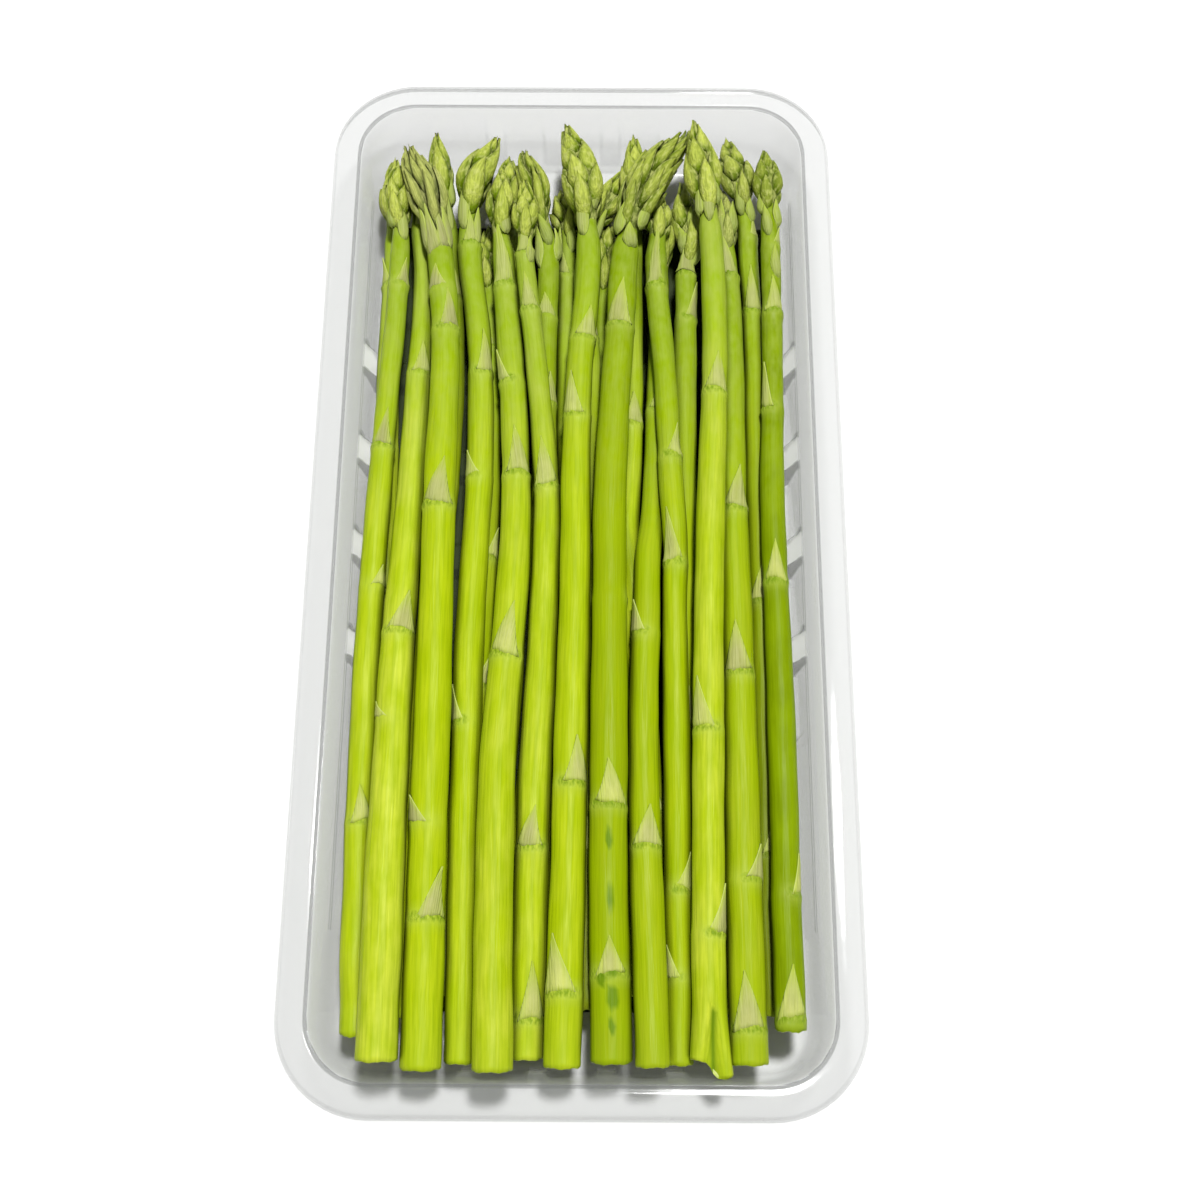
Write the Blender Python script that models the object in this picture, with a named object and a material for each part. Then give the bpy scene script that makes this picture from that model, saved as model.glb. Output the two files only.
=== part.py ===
"""A bundle of green asparagus lying in a clear, thin-walled tray with a ribbed base.

Each spear is one solid: a tapering stem with a cut end, triangular bracts, and a bud of overlapping
scales. The spears settle into the tray in two layers by a rule. The origin is on the underside of the
tray, at its centre, with X across the tray, Y along the spears towards their buds, and Z up.
"""

import math
from collections import namedtuple

import bmesh
import bpy
import numpy as np
from mathutils import Vector

MM = 0.001  # every dimension below is in millimetres, and MM turns it into metres

# Tray: a rounded rectangle at the foot of the wall, and how far each level steps out from it
FOOT_HALF_WIDTH = 52.4
FOOT_HALF_LENGTH = 117.3
FOOT_CORNER = 10.0
FOOT_HEIGHT = 3.0
TRAY_HEIGHT = 22.0
SHEET = 0.8
WALL_DRAFT = 3.0
FLANGE_STEP = 10.3
SKIRT_STEP = 11.0
SKIRT_DROP = 3.2
CORNER_SIDES = 4

# Cross ribs, raised from the base and running up both side walls
RIB_PITCH = 25.0
RIB_MIDDLE = 4.0
RIB_SPAN = 62.0
RIB_CENTRES = [RIB_MIDDLE + RIB_PITCH * k for k in range(-2, 3)]
RIB_RISE = 2.2
RIB_FOOT = 9.6
RIB_CREST = 6.2
RIB_TOP = 13.5
GROOVE_TAPER = 1.4

# Spears
SIDES = 7
RING_STEP = 36.0
CUT_SLANT = -0.22
GOLDEN_ANGLE = math.radians(137.5)
BRACT_HALF_ANGLE = math.radians(60)
BUD_SCALES = 9

# Settling
CLEARANCE = 0.48
STATION_STEP = 8.0
SETTLE_STEPS = 420
LAYER_RISE = 7.6
UPPER_LEVEL = 0.75
LAST_BESIDE = 114.0

Spear = namedtuple("Spear", "route levels butt neck bud bracts")
Bud = namedtuple("Bud", "length radius open")

# route: places (y, x) along the spear, butt first. levels: layer at the butt and at the tip.
# butt and neck: radii of the cut end and of the stem under the bud.
# bracts: (y of the base, angle from the top towards +X in degrees, length).
SPEARS = [
    Spear([(-110, -47), (-35, -48.5), (42, -46.5), (75, -45), (107, -46)], (0.8, 1.1), 3.2, 2.1,
          Bud(20, 3.3, 0.1), [(-64, 20, 8), (-8, 50, 5), (28, 0, 9.5), (72, 40, 7)]),
    Spear([(-98, -45), (-20, -46.5), (50, -48.5), (90, -48.5), (114, -49)], (0, 0.6), 3.3, 2.1,
          Bud(23, 3.1, 0.1), [(-40, 60, 9), (30, -30, 9), (76, -60, 8)]),
    Spear([(-116, -41), (-35, -41.5), (40, -40), (82, -40.5), (115, -46.3)], (1.6, 1.2), 4.3, 1.9,
          Bud(22, 3.0, 0.2), [(-41, -75, 4), (-20, 20, 9.5), (48, 30, 8)]),
    Spear([(-117.5, -32), (-35, -32.5), (14, -33), (68, -34), (88, -37), (110, -45)], (1.4, 1.8), 4.2, 2.9,
          Bud(26, 4.2, 1.0), [(-86, 25, 11), (-65, -50, 6), (11, -5, 11.5), (58, 35, 10), (69, -40, 6)]),
    Spear([(-104, -37), (-20, -34), (50, -30), (87, -31.5), (118.5, -36)], (0, 1.4), 3.6, 1.9,
          Bud(24, 3.3, 0.1), [(-50, 30, 9), (20, -40, 9), (70, 50, 8)]),
    Spear([(-116, -24), (-35, -25), (55, -24.5), (91, -28), (108, -25.5), (116.8, -20.7)], (1.0, 1.4), 3.4, 2.6,
          Bud(26, 4.4, 0.3), [(-41, -70, 9), (20, -60, 7), (48, 40, 11), (84, 20, 9)]),
    Spear([(-101, -29), (-20, -23), (50, -22), (96, -24)], (0, 0), 3.5, 2.0,
          Bud(20, 2.9, 0.1), [(-30, 50, 9), (2, 60, 8), (60, -30, 8)]),
    Spear([(-118, -16.5), (-59, -17.5), (14, -14.5), (72, -18.5), (107, -21)], (1.6, 1.5), 4.1, 2.5,
          Bud(22, 3.5, 0.3), [(-26, -10, 12.5), (20, 20, 12), (45, -60, 9), (72, -5, 18)]),
    Spear([(-103, -21), (-20, -15), (55, -16), (93, -18), (116, -18.5)], (0, 0.4), 3.4, 1.9,
          Bud(22, 3.4, 0.1), [(-60, 40, 9), (10, -40, 8), (84, 10, 9)]),
    Spear([(-115, -9.5), (-59, -9), (15, -7.5), (56, -11.5), (81, -14.5), (102, -15)], (1.0, 0.9), 3.7, 2.0,
          Bud(19, 3.0, 0.1), [(-107, 20, 12), (-70, -15, 9), (17, 0, 12.5), (65, 0, 9.5), (81, 0, 8)]),
    Spear([(-102, -13), (-20, -7.5), (57, -8), (89, -8), (116, -15)], (0, 0.8), 3.5, 2.4,
          Bud(26, 3.9, 0.5), [(-40, -40, 9), (42, 50, 8), (66, 0, 6)]),
    Spear([(-104, -5), (-20, 0), (50, -2.5), (91, -3.5), (106, -4.5)], (0, 0.3), 3.4, 2.0,
          Bud(16, 3.4, 0.5), [(-30, 30, 9), (36, 40, 8), (80, -30, 8)]),
    Spear([(-117, -1.5), (-35, 0), (41, 0), (85, 2), (106, -0.5), (119.2, -4.8)], (1.5, 1.9), 3.8, 2.7,
          Bud(32, 4.7, 0.2), [(-102, -25, 12.5), (-56, 35, 10.5), (35, -35, 11), (56, 30, 8)]),
    Spear([(-103, 3.5), (-20, 5), (50, 3.5), (94, 4.5), (110.5, 13.3)], (0, 0.6), 3.4, 2.0,
          Bud(19, 3.4, 0.2), [(-70, 0, 9), (0, -30, 8), (60, 40, 8)]),
    Spear([(-101, 11.5), (-20, 9.5), (55, 5.5), (98.5, 7)], (0, 0), 3.4, 1.8,
          Bud(23, 2.9, 0.1), [(-50, -30, 9), (20, 40, 8)]),
    Spear([(-116, 8), (-35, 7), (14, 7.5), (59, 10), (86, 12.5), (103, 18.8), (117, 28.8)], (1.5, 1.7),
          4.2, 3.1, Bud(33, 4.9, 0.9), [(-98, 0, 8), (-61, 15, 10), (-12, 160, 9), (59, -15, 12)]),
    Spear([(-102, 19.5), (-20, 14.5), (44, 14.5), (90, 15.5), (118.5, 16)], (0, 1.3), 3.4, 1.9,
          Bud(24, 3.2, 0.1), [(-60, 20, 9), (36, 20, 8), (39, -60, 5)]),
    Spear([(-117, 17), (-59, 15.5), (-10, 16.5), (15, 18.5), (60, 20), (101, 22)], (1.2, 0.6), 3.5, 1.9,
          Bud(22, 3.0, 0.1), [(-70, 10, 9), (-20, -60, 8), (40, 30, 8)]),
    Spear([(-116, 23.5), (-35, 23), (15, 22), (55, 20), (72, 18.5), (101, 19)], (1.0, 0.9), 2.9, 2.4,
          Bud(17, 3.0, 0.2), [(-98, -45, 7), (-79, 45, 8.5), (-2, -25, 13), (25, 30, 8.5), (72, -10, 18)]),
    Spear([(-103, 27.5), (-20, 25.5), (43, 25.5), (80, 26), (106.5, 25.2)], (0, 0.8), 3.4, 2.4,
          Bud(26, 3.3, 0.2), [(-40, 10, 9), (66, 50, 10), (79, 0, 10)]),
    Spear([(-104, 35.5), (-20, 30), (44, 31), (104, 31.5)], (0, 0.2), 3.4, 1.8,
          Bud(22, 3.0, 0.1), [(-60, -20, 9), (0, 40, 8), (49, 10, 8)]),
    Spear([(-117, 29.5), (-35, 30.5), (14, 32), (55, 33.5), (91, 32.5), (118.3, 29.1)], (1.5, 2.0), 3.5, 2.6,
          Bud(29, 4.1, 0.1), [(-89, 60, 11), (-43, -35, 12), (41, 15, 10)]),
    Spear([(-116, 37.5), (-35, 37.5), (15, 37), (69, 37.5), (103, 36.2)], (1.2, 1.2), 4.0, 2.5,
          Bud(20, 2.9, 0.1), [(-109, 0, 12), (-77, 60, 8), (-29, -10, 12), (12, 15, 11), (76, -5, 12)]),
    Spear([(-104, 43), (-35, 42.5), (43, 42), (71, 41.5), (96, 39.5), (118, 35.4)], (0.2, 1.3), 3.2, 2.0,
          Bud(22, 3.6, 0.1), [(-70, 40, 9), (-10, 0, 10), (67, 0, 12), (88, 60, 6)]),
    Spear([(-109, 47), (-35, 47), (15, 46.5), (70, 48), (96, 47.8), (112.5, 47.5)], (0.9, 1.4), 3.1, 2.0,
          Bud(19, 3.2, 0.1), [(-107, 0, 11.5), (-80, 75, 9), (-7, 0, 10), (38, -60, 12), (65, 20, 9),
                              (84, 60, 5)]),
]


def clear_scene():
    for obj in list(bpy.data.objects):
        bpy.data.objects.remove(obj, do_unlink=True)


def smooth_through(points, at):
    """A smooth curve through points (t, value), read at the places in at."""
    t, value = np.array(points, float).T
    slope = np.gradient(value, t)
    at = np.clip(at, t[0], t[-1])
    k = np.clip(np.searchsorted(t, at, side="right") - 1, 0, len(t) - 2)
    span = t[k + 1] - t[k]
    u = (at - t[k]) / span
    rise = value[k + 1] - value[k]
    start = slope[k] * span
    end = slope[k + 1] * span
    return value[k] + start * u + (3 * rise - 2 * start - end) * u**2 + (start + end - 2 * rise) * u**3


def stem_radius(spear, y):
    """Radius of the stem, which keeps its girth low down and slims towards the bud."""
    butt_y = spear.route[0][0]
    neck_y = spear.route[-1][0] - spear.bud.length
    along = np.clip((y - butt_y) / (neck_y - butt_y), 0, 1)
    return spear.neck + (spear.butt - spear.neck) * (1 - along**1.6)


def bud_radius(spear, y):
    """Radius of the bud's outline: it swells from the neck and closes to a point."""
    along = np.clip((y - spear.route[-1][0]) / spear.bud.length + 1, 0, 1)
    swell = np.clip(along / 0.45, 0, 1)
    lower = spear.neck + (spear.bud.radius - spear.neck) * swell**1.3 * (2.3 - 1.3 * swell)
    closing = np.clip((along - 0.4) / 0.6, 0, 1)
    return lower * (1 - closing**1.8)


def bud_core(bud):
    """Share of the bud's outline that its solid core fills: an open bud has a slimmer one."""
    return 0.8 - 0.25 * bud.open


def outline_radius(spear, y):
    neck_y = spear.route[-1][0] - spear.bud.length
    return np.where(y < neck_y, stem_radius(spear, y), bud_radius(spear, y))


def tray_half_width(y, z):
    """Half the inner width of the tray at a place along it and a height, with its round corners."""
    step = WALL_DRAFT * np.clip((z - FOOT_HEIGHT) / (TRAY_HEIGHT - FOOT_HEIGHT), 0, 1)
    corner = FOOT_CORNER + step
    into_corner = np.clip(np.abs(y) - (FOOT_HALF_LENGTH + step - corner), 0, corner)
    beside_ribs = RIB_RISE * np.clip((RIB_TOP + 3 - z) / 3, 0, 1) * (np.abs(y - RIB_MIDDLE) < RIB_SPAN)
    return FOOT_HALF_WIDTH + step - corner + np.sqrt(corner**2 - into_corner**2) - beside_ribs


def eased(values, wanted, active, y, keep, pull):
    """Values drawn back towards a straight offset from the wanted shape, as a stiff stalk would be."""
    result = values.copy()
    for i in range(len(values)):
        on = active[i]
        offset = values[i][on] - wanted[i][on]
        line = np.polyval(np.polyfit(y[on], offset, 1), y[on])
        result[i][on] = wanted[i][on] + line * pull[i] + (offset - line) * keep[i]
    return result


def settle():
    """Lets the spears sink into the tray: they push each other apart, and stay nearly straight.

    The spears of the upper layer hold their places across the tray, and the lower ones give way.
    Returns the stations along Y, and each spear's x and z at them.
    """
    y = np.arange(-120, 121, STATION_STEP)
    wanted_x = np.array([smooth_through(s.route, y) for s in SPEARS])
    radius = np.array([outline_radius(s, y) for s in SPEARS])
    active = np.array([(y > s.route[0][0] - 6) & (y < s.route[-1][0] + 4) for s in SPEARS])
    reach = np.where(active, np.maximum(radius, 0.8) + CLEARANCE, 0)
    floor = SHEET + RIB_RISE + reach
    level = np.array([np.interp(y, [s.route[0][0], s.route[-1][0]], s.levels) for s in SPEARS])
    lowest = floor + level * LAYER_RISE * 0.8
    upper = level.mean(axis=1) > UPPER_LEVEL
    give = np.where(upper, 0.12, 0.5)[:, None, None]
    share = give / (give + give.transpose(1, 0, 2))
    x = wanted_x.copy()
    z = floor + level * LAYER_RISE * 1.15
    both = active[:, None] & active[None, :] & ~np.eye(len(SPEARS), dtype=bool)[:, :, None]
    beside = np.clip(y, -LAST_BESIDE, LAST_BESIDE)
    for step in range(SETTLE_STEPS):
        left = 1 - step / SETTLE_STEPS
        z = np.maximum(z - 0.12 * min(1, 2 * left), lowest)
        for _ in range(3):
            dx = x[:, None] - x[None, :]
            dz = z[:, None] - z[None, :]
            apart = np.sqrt(dx**2 + dz**2) + 1e-6
            deep = np.where(both, np.maximum(reach[:, None] + reach[None, :] - apart, 0), 0)
            x = x + 0.64 * (share * deep * dx / apart).sum(axis=1)
            z = z + 0.32 * (deep * dz / apart).sum(axis=1)
            room = tray_half_width(beside, z) - reach
            x = np.clip(x, -room, room)
            z = np.maximum(z, floor)
        if step < SETTLE_STEPS - 12:
            x = eased(x, wanted_x, active, y, np.where(upper, 0.3, 0.6), np.where(upper, 0.9, 0.985))
            z = eased(z, np.zeros_like(z), active, y, np.full(len(z), 0.9), np.ones(len(z)))
    return y, x, z


def centre_line(spear, stations, x, z):
    """A function from places along Y to points on the settled spear's middle."""
    across = list(zip(stations, x))
    height = list(zip(stations, z))

    def at(y):
        return np.array([smooth_through(across, y), y, smooth_through(height, y)])

    return at


def frame_at(line, y):
    """Middle, direction, sideways and upward vectors of a spear at y."""
    middle = line(np.float64(y))
    ahead = line(np.float64(y + 0.5)) - line(np.float64(y - 0.5))
    ahead = ahead / np.linalg.norm(ahead)
    side = np.cross(ahead, [0, 0, 1])
    side = side / np.linalg.norm(side)
    return middle, ahead, side, np.cross(side, ahead)


def on_spear(line, y, angle, radius):
    """The point at an angle from the top, towards +X, and a distance from the spear's middle."""
    middle, _, side, up = frame_at(line, y)
    return middle + radius * (math.sin(angle) * side + math.cos(angle) * up)


def mesh_object(name, points, faces):
    mesh = bpy.data.meshes.new(name)
    mesh.from_pydata([Vector(p) * MM for p in points], [], faces)
    mesh.update()
    obj = bpy.data.objects.new(name, mesh)
    bpy.context.scene.collection.objects.link(obj)
    return obj


def outward(obj):
    """Turns every face outwards and leaves triangles only."""
    bm = bmesh.new()
    bm.from_mesh(obj.data)
    bmesh.ops.triangulate(bm, faces=bm.faces)
    bmesh.ops.recalc_face_normals(bm, faces=bm.faces)
    bm.to_mesh(obj.data)
    bm.free()


def combine(obj, pieces, operation, solver="EXACT"):
    """Applies one Boolean with a collection of pieces, then removes them."""
    group = bpy.data.collections.new("pieces")
    bpy.context.scene.collection.children.link(group)
    for piece in pieces:
        bpy.context.scene.collection.objects.unlink(piece)
        group.objects.link(piece)
    modifier = obj.modifiers.new("combine", "BOOLEAN")
    modifier.operation = operation
    modifier.operand_type = "COLLECTION"
    modifier.collection = group
    modifier.solver = solver
    bpy.context.view_layer.objects.active = obj
    bpy.ops.object.modifier_apply(modifier=modifier.name)
    for piece in pieces:
        bpy.data.objects.remove(piece, do_unlink=True)
    bpy.data.collections.remove(group)


def stalk(name, spear, line):
    """The stem and the core of the bud, as one closed tube with a cut end and a blunt point."""
    butt_y = spear.route[0][0]
    tip_y = spear.route[-1][0]
    neck_y = tip_y - spear.bud.length
    count = max(3, round((neck_y - butt_y) / RING_STEP))
    places = list(np.linspace(butt_y, neck_y, count + 1)) + [
        tip_y - spear.bud.length * part for part in (0.72, 0.4, 0.14)
    ]
    core = bud_core(spear.bud)
    points = []
    for y in places:
        radius = float(outline_radius(spear, y)) * (core if y > neck_y else 1)
        middle, ahead, side, up = frame_at(line, y)
        for k in range(SIDES):
            turn = 2 * math.pi * (k + 0.5) / SIDES
            lean = CUT_SLANT * radius * math.cos(turn) if y == butt_y else 0
            points.append(middle + radius * (math.sin(turn) * side + math.cos(turn) * up) + lean * ahead)
    last = len(points) - SIDES
    points.append(line(np.float64(tip_y - 0.5)))
    faces = [[k for k in range(SIDES)]]
    for ring in range(0, last, SIDES):
        for k in range(SIDES):
            after = (k + 1) % SIDES
            faces.append([ring + k, ring + after, ring + SIDES + after, ring + SIDES + k])
    faces += [[last + k, last + (k + 1) % SIDES, len(points) - 1] for k in range(SIDES)]
    obj = mesh_object(name, points, faces)
    outward(obj)
    return obj


def scale_piece(line, y, angle, length, half_angle, radii, rises):
    """A pointed scale: a kite-shaped face over the stem, with its root sunk to the stem's middle.

    radii: the stem's radius under the base, the middle and the point. rises: how far the face
    stands out there.
    """
    points = [
        on_spear(line, y, angle, radii[0] + rises[0]),
        on_spear(line, y + 0.14 * length, angle + half_angle, radii[0] + 0.15),
        on_spear(line, y + length, angle, radii[2] + rises[2]),
        on_spear(line, y + 0.14 * length, angle - half_angle, radii[0] + 0.15),
        on_spear(line, y + 0.45 * length, angle, radii[1] + rises[1]),
        on_spear(line, y + 0.4 * length, angle, 0.2 * radii[0]),
    ]
    rim = [0, 1, 2, 3]
    crown, root = 4, 5
    faces = []
    for here, after in zip(rim, rim[1:] + rim[:1]):
        faces.append([crown, here, after])
        faces.append([root, after, here])
    piece = mesh_object("scale", points, faces)
    outward(piece)
    return piece


def bract_pieces(spear, line):
    pieces = []
    for y, degrees, length in spear.bracts:
        facing_up = max(0.0, math.cos(math.radians(degrees)))
        rise = 0.4 + 0.35 * facing_up
        radii = [float(stem_radius(spear, y + length * part)) for part in (0, 0.5, 1)]
        rises = (0.4, rise, rise)
        pieces.append(scale_piece(line, y, math.radians(degrees), length, BRACT_HALF_ANGLE, radii, rises))
    return pieces


def bud_pieces(spear, line):
    """Scales up the bud, each a golden angle round from the last and shorter than it."""
    tip_y = spear.route[-1][0]
    bud = spear.bud
    core = bud_core(bud)
    pieces = []
    for k in range(BUD_SCALES):
        part = k / (BUD_SCALES - 1)
        y = tip_y - bud.length * (1 - 0.7 * part)
        length = bud.length * (0.4 - 0.12 * part)
        radii = [float(outline_radius(spear, y + length * p)) * core for p in (0, 0.5, 1)]
        full = [float(outline_radius(spear, y + length * p)) for p in (0, 0.5, 1)]
        stand = [0.35, full[1] - radii[1] + 0.1, full[2] - radii[2] + 0.25 + 0.9 * bud.open]
        angle = k * GOLDEN_ANGLE + math.radians(40)
        half_angle = math.radians(62 - 14 * bud.open)
        pieces.append(scale_piece(line, y, angle, length, half_angle, radii, stand))
    return pieces


def material(name, color, roughness, alpha=1.0):
    mat = bpy.data.materials.new(name)
    mat.use_nodes = True
    shader = mat.node_tree.nodes["Principled BSDF"]
    shader.inputs["Base Color"].default_value = (*color, 1)
    shader.inputs["Roughness"].default_value = roughness
    shader.inputs["Metallic"].default_value = 0
    shader.inputs["Alpha"].default_value = alpha
    return mat


def build_spears():
    skin = material("asparagus skin", (0.42, 0.6, 0.05), 0.4)
    stations, x, z = settle()
    for index, spear in enumerate(SPEARS):
        line = centre_line(spear, stations, x[index], z[index])
        obj = stalk(f"spear_{index + 1:02d}", spear, line)
        combine(obj, bract_pieces(spear, line) + bud_pieces(spear, line), "UNION")
        obj.data.materials.clear()
        obj.data.materials.append(skin)
        obj.data.set_sharp_from_angle(angle=math.radians(40))


def tray_outline(step):
    """Points round the tray, a distance out from the foot of its wall, with arcs at the corners."""
    corner = FOOT_CORNER + step
    reach_x = FOOT_HALF_WIDTH + step - corner
    reach_y = FOOT_HALF_LENGTH + step - corner
    points = []
    for quarter, (sx, sy) in enumerate([(1, 1), (-1, 1), (-1, -1), (1, -1)]):
        for k in range(CORNER_SIDES + 1):
            turn = math.pi / 2 * (quarter + k / CORNER_SIDES)
            points.append((sx * reach_x + corner * math.cos(turn), sy * reach_y + corner * math.sin(turn)))
    return points


def loft(name, levels):
    """A closed solid through outlines (step out, height), its first and last ones filled."""
    points = []
    for step, height in levels:
        points += [(px, py, height) for px, py in tray_outline(step)]
    count = len(tray_outline(0))
    faces = [list(range(count)), list(range(len(points) - count, len(points)))]
    for ring in range(0, len(points) - count, count):
        for k in range(count):
            after = (k + 1) % count
            faces.append([ring + k, ring + after, ring + count + after, ring + count + k])
    obj = mesh_object(name, points, faces)
    outward(obj)
    return obj


def rib(name, centre, out, rise, foot, crest, top):
    """A cross rib: a U that follows the base and both walls, wide at its root, narrow at its crest.

    out: how far its root lies beyond the inner surface. rise: how far its crest stands in from it.
    """
    wall_x = FOOT_HALF_WIDTH + WALL_DRAFT * (top - FOOT_HEIGHT) / (TRAY_HEIGHT - FOOT_HEIGHT)
    bend = SHEET + 1.6
    root_side = [
        (wall_x + out, top),
        (FOOT_HALF_WIDTH + out, bend),
        (FOOT_HALF_WIDTH - 1, SHEET - out),
    ]
    crest_side = [
        (wall_x - 0.3 * rise, top - 1.2 * rise),
        (FOOT_HALF_WIDTH - rise, bend + rise),
        (FOOT_HALF_WIDTH - 3 - rise, SHEET + rise),
    ]
    root_rail = [(-px, pz) for px, pz in root_side] + root_side[::-1]
    crest_rail = [(-px, pz) for px, pz in crest_side] + crest_side[::-1]
    points = []
    for half, rail in (
        (-foot / 2, root_rail),
        (foot / 2, root_rail),
        (crest / 2, crest_rail),
        (-crest / 2, crest_rail),
    ):
        points += [(px, centre + half, pz) for px, pz in rail]
    count = len(root_rail)
    faces = []
    for band in range(4):
        after = (band + 1) % 4
        for k in range(count - 1):
            faces.append([band * count + k, band * count + k + 1, after * count + k + 1, after * count + k])
    faces.append([band * count for band in range(4)])
    faces.append([band * count + count - 1 for band in range(4)])
    obj = mesh_object(name, points, faces)
    outward(obj)
    return obj


def build_tray():
    lip = TRAY_HEIGHT - SHEET
    skirt_end = TRAY_HEIGHT - SKIRT_DROP
    outside = [
        (-1.2, 0),
        (SHEET, FOOT_HEIGHT - 0.4),
        (WALL_DRAFT + SHEET - 0.2, lip - 1.0),
        (WALL_DRAFT + 1.9, lip),
        (FLANGE_STEP - 0.8, lip),
        (SKIRT_STEP - SHEET, skirt_end),
        (SKIRT_STEP, skirt_end),
        (FLANGE_STEP, TRAY_HEIGHT - 0.6),
        (FLANGE_STEP - 0.8, TRAY_HEIGHT),
    ]
    inside = [
        (-2.0, SHEET),
        (0, FOOT_HEIGHT),
        (WALL_DRAFT - 0.2, TRAY_HEIGHT - 1.2),
        (WALL_DRAFT + 1.2, TRAY_HEIGHT),
        (WALL_DRAFT + 4.2, TRAY_HEIGHT + 3.0),
    ]
    tray = loft("tray", outside)
    hollow = loft("hollow", inside)
    combine(tray, [hollow], "DIFFERENCE")
    ribs = [rib("rib", c, 0.4, RIB_RISE, RIB_FOOT, RIB_CREST, RIB_TOP) for c in RIB_CENTRES]
    combine(tray, ribs, "UNION")
    foot = RIB_FOOT - GROOVE_TAPER
    crest = RIB_CREST - GROOVE_TAPER
    grooves = [rib("groove", c, 3.0, RIB_RISE - SHEET, foot, crest, RIB_TOP - 1.2) for c in RIB_CENTRES]
    combine(tray, grooves, "DIFFERENCE")
    tray.data.materials.clear()
    tray.data.materials.append(material("clear plastic", (0.9, 0.92, 0.92), 0.12, 0.35))


clear_scene()
build_tray()
build_spears()
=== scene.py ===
# %% [markdown]
# # A bundle of asparagus in a clear tray
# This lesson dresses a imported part: 25 green spears that lie in a thin, clear plastic tray. The packed
# solids say where everything is. The cells below model finer pieces in the same places, give them
# materials, and then light them.

import math
from collections import namedtuple

import bpy
import numpy as np
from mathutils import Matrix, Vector


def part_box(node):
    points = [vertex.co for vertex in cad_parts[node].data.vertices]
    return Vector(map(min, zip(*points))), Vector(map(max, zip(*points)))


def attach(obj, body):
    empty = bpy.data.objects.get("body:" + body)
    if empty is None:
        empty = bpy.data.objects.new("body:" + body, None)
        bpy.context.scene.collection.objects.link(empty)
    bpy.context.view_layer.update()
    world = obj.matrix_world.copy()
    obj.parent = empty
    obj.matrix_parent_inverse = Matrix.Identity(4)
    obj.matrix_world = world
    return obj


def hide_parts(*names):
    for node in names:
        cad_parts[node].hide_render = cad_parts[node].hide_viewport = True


MM = 0.001
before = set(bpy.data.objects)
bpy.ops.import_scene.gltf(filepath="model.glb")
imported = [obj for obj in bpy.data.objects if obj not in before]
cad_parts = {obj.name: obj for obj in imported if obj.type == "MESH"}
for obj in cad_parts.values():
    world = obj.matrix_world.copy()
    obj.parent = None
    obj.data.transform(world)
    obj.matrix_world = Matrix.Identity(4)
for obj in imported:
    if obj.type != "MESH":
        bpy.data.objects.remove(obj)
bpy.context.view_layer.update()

# %% [markdown]
# ## Camera
# The bundle is seen from above and a little from the butt end, so the far end of the tray looks
# narrower. A plain 50 mm lens at arm's length gives the same narrowing. It is aimed a little beyond the
# middle of the tray.

# %% Place the camera
camera_place = Vector((6.3, -142.9, 383.1)) * MM
camera_aim = Vector((5.5, -10.8, 14.0)) * MM
bpy.ops.object.camera_add(location=camera_place)
camera = bpy.context.object
camera.rotation_euler = (camera_aim - camera_place).to_track_quat("-Z", "Y").to_euler()
camera.data.lens = 50
camera.data.sensor_width = 36
camera.data.clip_start = 0.01
bpy.context.scene.camera = camera
print("camera to aim:", round((camera_aim - camera_place).length / MM), "mm")

# %% [markdown]
# ## What each spear is like
# A spear is described the way a grower would sort it: the way it lies, how thick its cut end and its
# neck are, how long and how open its bud is, and where its bracts sit. The same values shaped the packed
# solids, so the detailed spears land on them.

# %% Describe the spears
Spear = namedtuple("Spear", "route levels butt neck bud bracts")
Bud = namedtuple("Bud", "length radius open")

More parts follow.
